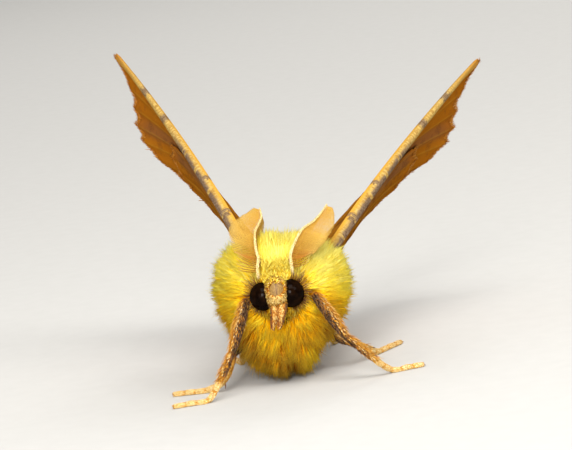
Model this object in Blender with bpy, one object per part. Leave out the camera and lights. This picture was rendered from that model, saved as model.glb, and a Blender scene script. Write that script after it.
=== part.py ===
"""A canary-shouldered thorn moth at rest, life size, with its wings raised in a V.

Metres, +Z up, the floor at z = 0, and the head towards -Y. Sizes below are millimetres.
The body leans to its left on a level floor, as it does on the sloping leaf where it sat,
so most parts are shaped in an upright body frame that is then turned by LEAN.
Left and right are the moth's own: its left side is +X.
"""

import math
import random

import bmesh
import bpy
import numpy as np
from mathutils import Matrix, Vector

MM = 0.001

# Clear space between nodes, for the body and for the small pieces of the head.
GAP = 0.33
SMALL_GAP = 0.27
ABDOMEN_GAP = 0.42

# A cutter is a hull of few points, so it is grown a little past its gap.
CUTTER_POINTS = 46
CUTTER_SWELL = 1.32

# After a union or a cut, faces that meet at less than this angle become one flat face, and
# points closer than this many millimetres become one point.
FLAT_ANGLE = math.radians(1.0)
WELD = 0.002

# The floor point under the middle of the whole model, from the one under the thorax.
MODEL_MIDDLE = Vector((2.4, 5.2, 0.0))

# The body leans this far to its left, and the head is turned back level and a little right.
LEAN = math.radians(8.0)
HEAD_TURN = math.radians(-3.0)

SEED = 14

# Coat of the thorax: the surface that the tips of the fur reach.
THORAX_MIDDLE = np.array((0.0, 0.35, 4.6))
THORAX_HALF_WIDTH = 3.66
THORAX_RISE = 3.15
THORAX_DROP = 4.35
THORAX_FRONT = 3.55
THORAX_BACK = 3.9
SHOULDER_POWER = 3.0
CHEST_POWER = 1.55
END_POWER = 2.3

# The solid core stays this far below the tips, and locks of these sizes grow from it.
CORE_DEPTH = 0.62
LOCK_ROWS = 9
LOCK_SPACING = 1.3
LOCK_LENGTH = (2.0, 2.6)
LOCK_WIDTH = (0.85, 1.1)
LOCK_THICK = 0.40
LOCK_TIP_OVER = 0.06

HEAD_AT = Vector((0.66, -3.0, 5.25))
HEAD_RADII = (1.22, 1.32, 1.28)
FRONS_RADII = (0.62, 0.62, 0.86)
EYE_OUT = 0.75
EYE_FORWARD = 0.60
EYE_RADII = (0.73, 0.74, 0.77)
EYE_FLAT = 0.55

# Rows of short locks over the head: forward of its middle, above it, and how many.
HEAD_TUFTS = ((-0.70, 1.0, 3), (-0.10, 1.22, 4), (0.50, 1.12, 3))
HEAD_TUFT_SPACING = 0.42
HEAD_TUFT_LENGTH = (0.85, 1.05)
HEAD_TUFT_WIDTH = 0.52
HEAD_TUFT_THICK = 0.30

PALP_ROOT = (0.34, -1.08, -0.75)
PALP_TIP = (0.34, -1.75, -1.62)
PALP_RADIUS = 0.27

# The wings stand in a V. Each plane holds the wing's front edge and the level line of sight
# from the front, so that it is seen edge on, and then curves towards the wing's underside.
WING_THICK = 0.50
WING_EDGE_THICK = 0.34
VEIN_RISE = 0.10
FORE_ROOTS = {1: np.array((2.05, 0.5, 6.1)), -1: np.array((-1.6, 0.5, 6.3))}
FORE_TIPS = {1: np.array((10.7, 13.1, 16.2)), -1: np.array((-10.35, 13.1, 16.4))}
FORE_LENGTH = 18.5
EDGE_BOW = 0.30
TIP_FLARE = 0.42
TIP_FLARE_WIDTH = 6.0
BACK_BEND = 0.55
BACK_BEND_WIDTH = 7.0
HIND_OFFSET = 0.84
HIND_SPREAD = 2.3
SIGHT = np.array((-0.047, 0.985, -0.165))

ANTENNA_RADIUS = 0.25
RAMUS_COUNT = 14
RAMUS_LENGTH = 1.40
RAMUS_THICK = 0.22

ABDOMEN_ROUTE = ((0, 2.6, 3.95), (0, 5.0, 3.7), (0, 8.0, 3.3), (0, 10.6, 3.15), (0, 12.0, 3.3))
ABDOMEN_RADIUS = 1.42
ABDOMEN_SIDES = 12
ABDOMEN_SEGMENTS = 7
SEGMENT_SWELL = 0.035

# Rings of locks at the tail: how many, their radius, how far back they root, their length.
TAIL_RINGS = ((7, 0.50, 0.55, 1.35), (5, 0.22, 0.15, 1.25))
TAIL_LOCK_WIDTH = 0.66
TAIL_LOCK_THICK = 0.34

SOLE = 0.17
BELLY_CLEAR = 0.12


def body_all(points):
    """Points of the upright body frame, leaned on to the floor's frame."""
    points = np.asarray(points, float)
    x, z = points[..., 0], points[..., 2]
    leaned = points.copy()
    leaned[..., 0] = x * math.cos(LEAN) + z * math.sin(LEAN)
    leaned[..., 2] = -x * math.sin(LEAN) + z * math.cos(LEAN)
    return leaned


def head_all(points):
    """Points of the head's own frame, turned by HEAD_TURN and put at HEAD_AT."""
    turn = np.array(Matrix.Rotation(HEAD_TURN, 3, "Z"))
    return np.asarray(points, float) @ turn.T + np.array(HEAD_AT)


def unit(vector):
    """The vector at length one."""
    vector = np.asarray(vector, float)
    return vector / max(np.linalg.norm(vector), 1e-9)


def material(name, colour, roughness, metallic=0.0):
    """A Principled material of one colour."""
    made = bpy.data.materials.new(name)
    made.use_nodes = True
    shader = made.node_tree.nodes["Principled BSDF"]
    shader.inputs["Base Color"].default_value = (*colour, 1.0)
    shader.inputs["Roughness"].default_value = roughness
    shader.inputs["Metallic"].default_value = metallic
    made.diffuse_color = (*colour, 1.0)
    return made


def mesh_object(name, points, faces, finish=None):
    """A mesh object from points in millimetres and faces that point out."""
    mesh = bpy.data.meshes.new(name)
    mesh.from_pydata(np.asarray(points, float).tolist(), [], [tuple(face) for face in faces])
    mesh.validate()
    shape = bmesh.new()
    shape.from_mesh(mesh)
    bmesh.ops.recalc_face_normals(shape, faces=shape.faces)
    shape.to_mesh(mesh)
    shape.free()
    made = bpy.data.objects.new(name, mesh)
    bpy.context.scene.collection.objects.link(made)
    if finish is not None:
        mesh.materials.append(finish)
    return made


def loft(rings, start_point=None, end_point=None):
    """Points and triangles of a closed skin over rings, ended by points or by flat caps."""
    rings = np.asarray(rings, float)
    count, sides = rings.shape[:2]
    points = [tuple(p) for p in rings.reshape(-1, 3)]
    faces = []
    for ring in range(count - 1):
        for side in range(sides):
            a = ring * sides + side
            b = ring * sides + (side + 1) % sides
            faces.append((a, b, b + sides))
            faces.append((a, b + sides, a + sides))
    for ring, tip, flip in ((0, start_point, True), (count - 1, end_point, False)):
        if tip is None:
            tip = rings[ring].mean(axis=0)
        points.append(tuple(tip))
        centre = len(points) - 1
        for side in range(sides):
            a = ring * sides + side
            b = ring * sides + (side + 1) % sides
            faces.append((b, a, centre) if flip else (a, b, centre))
    return points, faces


def section_axes(path, flat_way):
    """For each point of a path, the section's wide axis, near flat_way, and its thin axis."""
    path = np.asarray(path, float)
    along = np.gradient(path, axis=0)
    along /= np.linalg.norm(along, axis=1)[:, None]
    flat_way = np.broadcast_to(np.asarray(flat_way, float), path.shape)
    wide = flat_way - (flat_way * along).sum(axis=1)[:, None] * along
    wide /= np.linalg.norm(wide, axis=1)[:, None]
    return wide, np.cross(along, wide)


def tube(path, half_width, half_thick, flat_way, sides, end_point=None, turn=0.0):
    """A closed tube along a path, its section an oval of a few sides turned by an angle."""
    path = np.asarray(path, float)
    wide, thin = section_axes(path, flat_way)
    half_width = np.broadcast_to(half_width, len(path))
    half_thick = np.broadcast_to(half_thick, len(path))
    angles = np.arange(sides) * (2 * math.pi / sides) + turn
    rings = (
        path[:, None, :]
        + wide[:, None, :] * (np.cos(angles)[None, :] * half_width[:, None])[..., None]
        + thin[:, None, :] * (np.sin(angles)[None, :] * half_thick[:, None])[..., None]
    )
    return loft(rings, None, end_point)


def smooth_path(points, count):
    """Points spaced evenly on a Catmull-Rom curve through the given ones."""
    points = np.asarray(points, float)
    ends = np.vstack([2 * points[0] - points[1], points, 2 * points[-1] - points[-2]])
    fine = []
    for i in range(len(points) - 1):
        p0, p1, p2, p3 = ends[i:i + 4]
        for t in np.linspace(0, 1, 12, endpoint=False):
            fine.append(0.5 * (
                2 * p1 + (p2 - p0) * t + (2 * p0 - 5 * p1 + 4 * p2 - p3) * t ** 2
                + (3 * p1 - p0 - 3 * p2 + p3) * t ** 3
            ))
    fine.append(points[-1])
    fine = np.array(fine)
    steps = np.concatenate([[0], np.cumsum(np.linalg.norm(np.diff(fine, axis=0), axis=1))])
    wanted = np.linspace(0, steps[-1], count)
    return np.column_stack([np.interp(wanted, steps, fine[:, k]) for k in range(3)])


def lock(root, lie, out, length, width, thick, lift, sink):
    """A flat tapered lock: it leaves the surface at the angle lift and bends over along its lie."""
    steps = np.array((0.0, 0.34, 0.66, 0.88))
    lie, out, root = unit(lie), unit(out), np.asarray(root, float)
    base = root - out * sink

    def at(share):
        rise = math.sin(lift) * (share - 0.38 * share ** 2)
        run = math.cos(lift) * share + 0.30 * share ** 2
        return base + out * (sink * min(1.0, share * 3) + length * rise) + lie * (length * run)

    path = np.array([at(s) for s in steps])
    half_width = width / 2 * np.array((0.80, 1.0, 0.78, 0.42))
    half_thick = thick * np.array((0.72, 0.66, 0.46, 0.26))
    across = np.cross(out, lie)
    return tube(path, half_width, half_thick, across, 3, end_point=at(1.0), turn=math.pi / 2)


def largest_body(mesh):
    """Leaves only the closed surface of the largest volume, with flat parts and close points merged."""
    shape = bmesh.new()
    shape.from_mesh(mesh)
    bmesh.ops.dissolve_limit(
        shape, angle_limit=FLAT_ANGLE, verts=shape.verts, edges=shape.edges
    )
    bmesh.ops.triangulate(shape, faces=shape.faces)
    bmesh.ops.remove_doubles(shape, verts=shape.verts, dist=WELD)
    left = set(shape.faces)
    bodies = []
    while left:
        found, front = set(), [left.pop()]
        while front:
            face = front.pop()
            found.add(face)
            for edge in face.edges:
                for other in edge.link_faces:
                    if other in left:
                        left.discard(other)
                        front.append(other)
        volume = sum(
            f.verts[0].co.dot(f.verts[1].co.cross(f.verts[2].co)) / 6 for f in found
        )
        bodies.append((volume, found))
    keep = max(bodies, key=lambda pair: pair[0])[1]
    bmesh.ops.delete(shape, geom=[f for f in shape.faces if f not in keep], context="FACES")
    shape.to_mesh(mesh)
    shape.free()


def boolean(target, others, operation):
    """One applied Boolean of a collection of closed meshes on the target, largest body kept."""
    if not others:
        return target
    group = bpy.data.collections.new("operands")
    bpy.context.scene.collection.children.link(group)
    for other in others:
        bpy.context.scene.collection.objects.unlink(other)
        group.objects.link(other)
    modifier = target.modifiers.new("join", "BOOLEAN")
    modifier.operation = operation
    modifier.operand_type = "COLLECTION"
    modifier.collection = group
    modifier.solver = "MANIFOLD"
    graph = bpy.context.evaluated_depsgraph_get()
    made = bpy.data.meshes.new_from_object(target.evaluated_get(graph))
    target.modifiers.clear()
    finish = list(target.data.materials)
    target.data = made
    target.data.materials.clear()
    for item in finish:
        target.data.materials.append(item)
    for other in list(group.objects):
        bpy.data.objects.remove(other)
    bpy.data.collections.remove(group)
    largest_body(target.data)
    return target


def joined(name, pieces, finish):
    """One closed body from (points, faces) pieces that overlap."""
    first, *rest = [mesh_object(f"{name}_{i}", p, f) for i, (p, f) in enumerate(pieces)]
    boolean(first, rest, "UNION")
    first.name = name
    first.data.name = name
    first.data.materials.clear()
    first.data.materials.append(finish)
    return first


def hull_object(name, points, finish=None):
    """The convex hull of points as an object."""
    shape = bmesh.new()
    for point in points:
        shape.verts.new(Vector(point))
    bmesh.ops.remove_doubles(shape, verts=shape.verts, dist=0.01)
    hull = bmesh.ops.convex_hull(shape, input=shape.verts)
    inner = hull["geom_interior"] + hull["geom_unused"]
    spare = {item for item in inner if isinstance(item, bmesh.types.BMVert)}
    bmesh.ops.delete(shape, geom=list(spare), context="VERTS")
    bmesh.ops.recalc_face_normals(shape, faces=shape.faces)
    mesh = bpy.data.meshes.new(name)
    shape.to_mesh(mesh)
    shape.free()
    made = bpy.data.objects.new(name, mesh)
    bpy.context.scene.collection.objects.link(made)
    if finish is not None:
        mesh.materials.append(finish)
    return made


def outermost(points, ways=60):
    """The few points that reach furthest, each in one of many evenly spread directions."""
    rank = np.arange(ways) + 0.5
    rise = 1 - 2 * rank / ways
    turn = rank * math.pi * (3 - math.sqrt(5))
    flat = np.sqrt(1 - rise ** 2)
    directions = np.stack([flat * np.cos(turn), flat * np.sin(turn), rise])
    points = np.asarray(points, float)
    return points[np.unique((points @ directions).argmax(axis=0))]


def clearance_hull(points, gap):
    """A convex cutter that stands about a gap clear of the points all round."""
    golden = (1 + math.sqrt(5)) / 2
    reach = gap / math.sqrt(1 + golden ** 2) * CUTTER_SWELL
    ways = np.array([
        way
        for a in (-1, 1)
        for b in (-golden, golden)
        for way in ((0, a, b), (a, b, 0), (b, 0, a))
    ]) * reach
    grown = (outermost(points)[:, None, :] + ways[None]).reshape(-1, 3)
    return hull_object("clearance", outermost(grown, CUTTER_POINTS))


def points_of(node):
    """The points of a node's mesh."""
    flat = np.empty(len(node.data.vertices) * 3, np.float32)
    node.data.vertices.foreach_get("co", flat)
    return flat.reshape(-1, 3).astype(float)


def chunks(node, way, count, low, high):
    """The node's points between two places along a way, in count groups that share their ends."""
    points = points_of(node)
    along = points @ unit(way)
    edges = np.linspace(low, high, count + 1)
    overlap = (high - low) / count * 0.35
    groups = []
    for a, b in zip(edges[:-1], edges[1:]):
        group = points[(along > a - overlap) & (along < b + overlap)]
        if len(group) > 3:
            groups.append(group)
    return groups


def near(node, way, low, high):
    """The points of a node between two places along a way."""
    points = points_of(node)
    along = points @ unit(way)
    return points[(along >= low) & (along <= high)]


def cut_clear(node, groups, gap=GAP):
    """Cuts the node back so that it stays gap clear of each group of points."""
    return boolean(node, [clearance_hull(group, gap) for group in groups], "DIFFERENCE")


def ball(middle, radii, around=14, rows=9):
    """An ellipsoid as rings between two poles on its Y axis."""
    middle, radii = np.asarray(middle, float), np.asarray(radii, float)
    polar = np.linspace(0, math.pi, rows + 2)[1:-1]
    angles = np.arange(around) * (2 * math.pi / around)
    rings = np.stack([
        np.stack([
            np.sin(p) * np.cos(angles), np.full(around, -np.cos(p)), np.sin(p) * np.sin(angles),
        ], axis=1) * radii + middle
        for p in polar
    ])
    pole = np.array((0, radii[1], 0))
    return loft(rings, middle - pole, middle + pole)


def moved(piece, change):
    """A (points, faces) piece with its points changed by a function of an array."""
    points, faces = piece
    return change(np.asarray(points, float)), faces


def thorax_surface(angle, along, depth=0.0):
    """A point of the thorax, depth below the tips of its coat.

    angle goes round the body axis from the moth's left, and along goes from -1 at the chest's
    front to 1 at the back. The section is a superellipse, squarer above and narrower below.
    """
    half_width = THORAX_HALF_WIDTH - depth
    up = math.sin(angle) > 0
    height = (THORAX_RISE if up else THORAX_DROP) - depth
    power = SHOULDER_POWER if up else CHEST_POWER
    c, s = math.cos(angle), math.sin(angle)
    swell = (abs(c) ** power + abs(s) ** power) ** (-1 / power)
    taper = max(0.0, 1 - abs(along) ** END_POWER) ** (1 / END_POWER)
    reach = (THORAX_FRONT if along < 0 else THORAX_BACK) - depth
    return THORAX_MIDDLE + np.array((
        half_width * swell * c * taper, reach * along, height * swell * s * taper,
    ))


def coat_reach(point):
    """1 on the surface that the tips of the coat reach, less inside it and more outside."""
    x, y, z = np.asarray(point, float) - THORAX_MIDDLE
    power = SHOULDER_POWER if z > 0 else CHEST_POWER
    height = THORAX_RISE if z > 0 else THORAX_DROP
    length = THORAX_FRONT if y < 0 else THORAX_BACK
    section = (abs(x / THORAX_HALF_WIDTH) ** power + abs(z / height) ** power) ** (END_POWER / power)
    return (section + abs(y / length) ** END_POWER) ** (1 / END_POWER)


def coat_point(point, depth):
    """The place on the line from the thorax's middle through a point that is depth below the tips."""
    out = np.asarray(point, float) - THORAX_MIDDLE
    reach = coat_reach(point)
    return THORAX_MIDDLE + out / reach - unit(out) * depth


def coat_normal(point):
    """The outward normal of the coat at a point, from small steps in each direction."""
    step = 0.02
    slope = [
        coat_reach(point + step * way) - coat_reach(point - step * way) for way in np.eye(3)
    ]
    return unit(slope)


def coat_lock(root, lie, length, width, thick):
    """A flat tapered lock that leaves the core, bends with the body and ends at the coat's tips."""
    stations = ((0.0, CORE_DEPTH + 0.30), (0.40, 0.36), (0.74, 0.16))
    path = np.array([coat_point(root + lie * length * share, depth) for share, depth in stations])
    tip = coat_point(root + lie * length, -LOCK_TIP_OVER)
    half_width = width / 2 * np.array((0.80, 1.15, 0.85))
    half_thick = thick * np.array((0.70, 0.62, 0.36))
    across = np.cross(coat_normal(root), lie)
    return tube(path, half_width, half_thick, across, 3, end_point=tip, turn=math.pi / 2)


def coat_lie(point, normal):
    """The way the fur lies: away from the head and back over the body, and down on the chest."""
    from_head = unit(point - np.array((0.0, -3.2, 5.2)))
    way = from_head + np.array((0.0, 0.75, 0.0))
    if point[2] < 4.0 and point[1] < 1.0:
        way = way + np.array((0.0, -0.35, -0.6))
    return unit(way - (way @ normal) * normal)


def thorax_core():
    """The closed core under the coat."""
    around, rows = 20, 13
    alongs = -np.cos(np.linspace(0, math.pi, rows + 2)[1:-1])
    rings = np.array([
        [thorax_surface(a, t, CORE_DEPTH) for a in np.arange(around) * (2 * math.pi / around)]
        for t in alongs
    ])
    front = THORAX_MIDDLE - np.array((0, THORAX_FRONT - CORE_DEPTH, 0))
    back = THORAX_MIDDLE + np.array((0, THORAX_BACK - CORE_DEPTH, 0))
    return loft(rings, front, back)


def thorax_locks(draw):
    """Locks set on the core in rows from front to back, clear of the head and the abdomen."""
    locks = []
    for row, along in enumerate(-np.cos(np.linspace(0, math.pi, LOCK_ROWS + 2)[1:-1])):
        angles = np.linspace(0, 2 * math.pi, 60)
        ring = np.array([thorax_surface(angle, along) for angle in angles])
        steps = np.concatenate([[0], np.cumsum(np.linalg.norm(np.diff(ring, axis=0), axis=1))])
        count = max(5, round(steps[-1] / LOCK_SPACING))
        for i in range(count):
            place = (i + 0.5 * (row % 2) + draw.uniform(-0.15, 0.15)) / count % 1
            angle = np.interp(place * steps[-1], steps, angles)
            root = thorax_surface(angle, along, CORE_DEPTH)
            if not lock_has_room(root):
                continue
            lie = coat_lie(root, coat_normal(root))
            length = draw.uniform(*LOCK_LENGTH)
            width = draw.uniform(*LOCK_WIDTH)
            locks.append(coat_lock(root, lie, length, width, LOCK_THICK))
    return locks


def lock_has_room(root):
    """Whether a lock may grow here: not behind the head, nor where the abdomen joins."""
    behind_head = root[1] < -1.6 and math.hypot(root[0], root[2] - 5.3) < 1.45
    at_abdomen = root[1] > 2.9 and math.hypot(root[0], root[2] - 3.9) < 1.7
    return not (behind_head or at_abdomen)


def build_thorax(finish, draw):
    """The thorax with its coat of locks, in the leaned frame."""
    pieces = [thorax_core()] + thorax_locks(draw)
    return joined("thorax", [moved(p, body_all) for p in pieces], finish)


def build_head(finish, draw):
    """The head: a round capsule, the bulge of the frons and a tuft between the feelers."""
    pieces = [
        ball((0, 0, 0), HEAD_RADII),
        ball((0, -0.92, 0.10), FRONS_RADII, around=12, rows=7),
    ]
    for forward, up, count in HEAD_TUFTS:
        for i in range(count):
            side = (i - (count - 1) / 2) * HEAD_TUFT_SPACING
            root = np.array((side, forward, up - 0.15 * abs(side)))
            length = draw.uniform(*HEAD_TUFT_LENGTH)
            lie = (side * 0.3, 0.85, 0.5)
            out = unit((side * 0.6, -0.5, 1))
            pieces.append(lock(
                root, lie, out, length, HEAD_TUFT_WIDTH, HEAD_TUFT_THICK, lift=0.35, sink=0.35
            ))
    return joined("head", [moved(p, head_all) for p in pieces], finish)


def build_eye(name, side, finish):
    """One compound eye: a ball of facets, cut flat where it sits on the side of the head."""
    middle = np.array((side * EYE_OUT, -EYE_FORWARD, -0.02))
    points = np.array(ball(middle, EYE_RADII, around=16, rows=9)[0])
    points[:, 0] = side * np.maximum(points[:, 0] * side, EYE_FLAT)
    return hull_object(name, head_all(points), finish)


def build_palp(name, side, finish):
    """A labial palp below the face, bent down, with a slit between it and its pair."""
    root = np.array(PALP_ROOT) * (side, 1, 1)
    tip = np.array(PALP_TIP) * (side, 1, 1)
    middle = (root + tip) / 2 + np.array((side * 0.03, -0.16, 0.10))
    path = smooth_path([root, middle, tip], 6)
    half = PALP_RADIUS * np.array((0.9, 1.0, 1.08, 1.05, 0.9, 0.55))
    end = tip + np.array((0, -0.02, -0.16))
    points, faces = tube(path, half * 0.84, half, (1, 0, 0), 8, end_point=end)
    return mesh_object(name, head_all(points), faces, finish)


# The shaft of each feeler, and the ways that its two rows of rami point.
ANTENNA_ROUTES = {
    1: (
        (0.74, -3.18, 6.42), (0.66, -3.30, 6.9), (0.60, -3.05, 7.35), (0.75, -2.5, 7.85),
        (1.14, -1.3, 8.45), (1.72, -0.2, 8.75), (2.08, 0.7, 9.05), (2.37, 1.5, 9.35),
    ),
    -1: (
        (-1.10, -3.15, 6.15), (-1.18, -3.30, 6.65), (-1.15, -3.05, 7.15), (-1.32, -2.5, 7.65),
        (-1.42, -1.3, 8.25), (-1.27, -0.2, 8.55), (-1.18, 0.7, 8.8), (-1.31, 1.5, 9.1),
    ),
}
RAMUS_WAYS = {
    1: ((0.90, -0.15, -0.42), (-0.10, 0.80, -0.50)),
    -1: ((-0.95, -0.15, 0.18), (0.10, 0.80, -0.50)),
}


def antenna_path(side, count):
    """The shaft of a feeler: up from the head, then back over the thorax."""
    return smooth_path([body_all(np.array(p)) for p in ANTENNA_ROUTES[side]], count)


def build_antenna(name, side, finish):
    """A comb-like feeler: a tapered shaft with two rows of flat tapered rami in a V."""
    path = antenna_path(side, 12)
    radius = ANTENNA_RADIUS * (1 - 0.45 * np.linspace(0, 1, len(path)))
    tip = path[-1] + (path[-1] - path[-2]) * 0.5
    pieces = [tube(path, radius, radius, (0, 0, 1), 6, end_point=tip)]
    fine = antenna_path(side, 60)
    along = np.gradient(fine, axis=0)
    for row_way in RAMUS_WAYS[side]:
        row_way = body_all(np.array(row_way))
        for i in range(RAMUS_COUNT):
            at = 0.13 + 0.84 * i / (RAMUS_COUNT - 1)
            k = int(round(at * 59))
            way = unit(along[k])
            out = unit(row_way - (row_way @ way) * way)
            reach = RAMUS_LENGTH * math.sin(math.pi * (0.12 + 0.76 * at)) ** 0.7
            bent = [fine[k] - out * 0.05, fine[k] + out * reach * 0.55 + way * reach * 0.08]
            bent.append(fine[k] + out * reach + way * reach * 0.26)
            rib = smooth_path(bent, 3)
            thick = RAMUS_THICK / 2 * np.array((1.1, 1.0, 0.7))
            pieces.append(tube(rib, np.array((0.22, 0.19, 0.10)), thick, way, 4))
    return joined(name, pieces, finish)


def wing_frame(side):
    """A wing's root and its axes: along the front edge, down the chord and out of the underside."""
    root, tip = FORE_ROOTS[side], FORE_TIPS[side]
    costa = unit(tip - root)
    under = unit(np.cross(SIGHT, costa)) * side
    chord = np.cross(costa, under) * side
    return root, costa, chord, under


def smooth_step(value, start, end):
    """0 before start and 1 after end, with a smooth rise between them."""
    t = min(1.0, max(0.0, (value - start) / (end - start)))
    return t * t * (3 - 2 * t)


def wing_bend(u, v, shape):
    """How far a wing leaves its flat plane towards its underside, u along it and v down its chord.

    The outer part flares open, the part near the body bends back in, and the front edge bows in.
    """
    out = u / FORE_LENGTH
    flare = TIP_FLARE * min(v, TIP_FLARE_WIDTH) * out ** 3
    bend = BACK_BEND * smooth_step(v, 0.0, BACK_BEND_WIDTH)
    bow = 4 * EDGE_BOW * out * (1 - out)
    spread = shape["spread"] * smooth_step(v, 1.5, 6.0) * (1 - out) ** 2
    return flare - bend - bow + spread + shape["offset"]


# Each vein: its place from costa (0) to hind margin (1), and where along the wing it starts.
FORE_VEINS = (
    (0.05, 0.0), (0.17, 0.0), (0.30, 0.52), (0.42, 0.55), (0.54, 0.52), (0.67, 0.42), (0.80, 0.30),
    (0.94, 0.0),
)
HIND_VEINS = (
    (0.05, 0.0), (0.20, 0.0), (0.36, 0.48), (0.52, 0.48), (0.66, 0.40), (0.80, 0.25), (0.94, 0.0),
)
VEIN_FOOT = 0.022
MARGIN_NOTCH = 0.022

# Outer margins as (place, along the costa, down the chord), apex to hind corner.
FORE_MARGIN = (
    (0.0, 18.2, 0.55), (0.05, 18.3, 0.95), (0.17, 16.9, 1.9), (0.30, 16.55, 3.2), (0.42, 16.5, 4.5),
    (0.54, 16.1, 5.5), (0.67, 14.9, 6.7), (0.80, 13.7, 7.9), (0.94, 12.3, 9.0), (1.0, 11.5, 9.25),
)
HIND_MARGIN = (
    (0.0, 12.4, 3.0), (0.05, 12.8, 3.4), (0.20, 13.2, 4.8), (0.36, 13.0, 6.4), (0.52, 13.0, 8.0),
    (0.66, 11.4, 8.7), (0.80, 9.9, 9.3), (0.94, 8.2, 9.8), (1.0, 7.2, 9.8),
)


def wing_columns(veins):
    """Places across a wing for its mesh, each with its kind.

    The kind is 1 on a vein, 0 at its two feet and at the edges, and -1 half way between veins,
    where the outer margin is notched.
    """
    places = {0.0: 0.0, 1.0: 0.0}
    ordered = [v for v, _ in veins]
    for place in ordered:
        places[place] = 1.0
        for foot in (place - VEIN_FOOT, place + VEIN_FOOT):
            if 0 < foot < 1:
                places[foot] = 0.0
    for a, b in zip(ordered[:-1], ordered[1:]):
        places[(a + b) / 2] = -1.0
    return sorted(places.items())


def wing_plan(share, place, shape):
    """Where a point lies in the wing's own plane, share from root to margin and place across."""
    margin = np.array(shape["margin"])
    out_u = np.interp(place, margin[:, 0], margin[:, 1])
    out_v = np.interp(place, margin[:, 0], margin[:, 2])
    root_u, root_v = shape["root"]
    width = shape["root_width"]
    swell = shape["costa_swell"] * (1 - place) ** 2 + shape["hind_swell"] * place ** 2
    u = (1 - share) * root_u + share * out_u
    v = (1 - share) * (root_v + width * place) + share * out_v + 4 * swell * share * (1 - share)
    return u, v


def wing_mesh(side, shape):
    """A wing as a closed plate: two faces of like triangles with veins raised on both."""
    root, costa, chord, under = wing_frame(side)
    columns = wing_columns(shape["veins"])
    starts = dict(shape["veins"])
    shares = np.linspace(0, 1, shape["rows"])
    over, below = [], []
    for share in shares:
        for place, kind in columns:
            notched = kind < 0 and share == shares[-1]
            u, v = wing_plan(share - MARGIN_NOTCH * notched, place, shape)
            middle = root + costa * u + chord * v + under * wing_bend(u, v, shape)
            half = (WING_THICK + (WING_EDGE_THICK - WING_THICK) * share ** 3) / 2
            rise = VEIN_RISE * (1 - 0.5 * share) if kind > 0 and share >= starts[place] else 0.0
            covered = 0.0 if place < 0.2 else 1 - smooth_step(share, 0.60, 0.85)
            over_rise, under_rise = (0.0, rise) if shape["offset"] else (rise, rise * (1 - covered))
            over.append(middle - under * (half + over_rise))
            below.append(middle + under * (half + under_rise))
    rows, across = len(shares), len(columns)
    points = np.array(over + below)
    shift = rows * across
    faces = []
    for r in range(rows - 1):
        for c in range(across - 1):
            a = r * across + c
            b, d, e = a + 1, a + across, a + across + 1
            faces += [(a, b, e), (a, e, d)]
            faces += [(a + shift, e + shift, b + shift), (a + shift, d + shift, e + shift)]
    rim = (
        [r * across for r in range(rows)]
        + [(rows - 1) * across + c for c in range(1, across)]
        + [r * across + across - 1 for r in range(rows - 2, -1, -1)]
        + [c for c in range(across - 2, 0, -1)]
    )
    for a, b in zip(rim, rim[1:] + rim[:1]):
        faces += [(a, a + shift, b + shift), (a, b + shift, b)]
    return body_all(points), faces


FOREWING = {
    "margin": FORE_MARGIN, "veins": FORE_VEINS, "root": (0.0, 0.0), "root_width": 1.7,
    "costa_swell": -0.45, "hind_swell": 1.0, "rows": 9, "offset": 0.0, "spread": 0.0,
}
HINDWING = {
    "margin": HIND_MARGIN, "veins": HIND_VEINS, "root": (0.2, 1.7), "root_width": 1.6,
    "costa_swell": -0.30, "hind_swell": 0.3, "rows": 7, "offset": HIND_OFFSET, "spread": HIND_SPREAD,
}


def build_wing(name, side, shape, finish):
    """One wing as an object."""
    points, faces = wing_mesh(side, shape)
    return mesh_object(name, points, faces, finish)


def build_abdomen(finish, draw):
    """The abdomen: a tapered tube of seven segments with a pointed tuft of long scales."""
    path = smooth_path(ABDOMEN_ROUTE, 15)
    share = np.linspace(0, 1, len(path))
    body_swell = np.interp(
        share, (0, 0.12, 0.45, 0.8, 0.94, 1), (0.62, 0.86, 1.0, 0.84, 0.62, 0.40)
    )
    ring_swell = 1 + SEGMENT_SWELL * np.cos(share * 2 * math.pi * ABDOMEN_SEGMENTS)
    half = ABDOMEN_RADIUS * body_swell * ring_swell
    end = np.array(ABDOMEN_ROUTE[-1])
    tip = end + np.array((0, 1.0, 0.02))
    pieces = [tube(path, half, half * 0.96, (1, 0, 0), ABDOMEN_SIDES, end_point=tip)]
    for count, radius, back, length in TAIL_RINGS:
        for i in range(count):
            angle = (i + 0.5 * (count % 2)) * 2 * math.pi / count
            out = np.array((math.cos(angle), 0, math.sin(angle)))
            root = end + out * radius - np.array((0, back, 0))
            lie = unit(np.array((0, 1, 0)) - out * 0.10)
            reach = length * draw.uniform(0.9, 1.1)
            pieces.append(lock(
                root, lie, out, reach, TAIL_LOCK_WIDTH, TAIL_LOCK_THICK, lift=0.16, sink=0.25
            ))
    return joined("abdomen", [moved(p, body_all) for p in pieces], finish)


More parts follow.
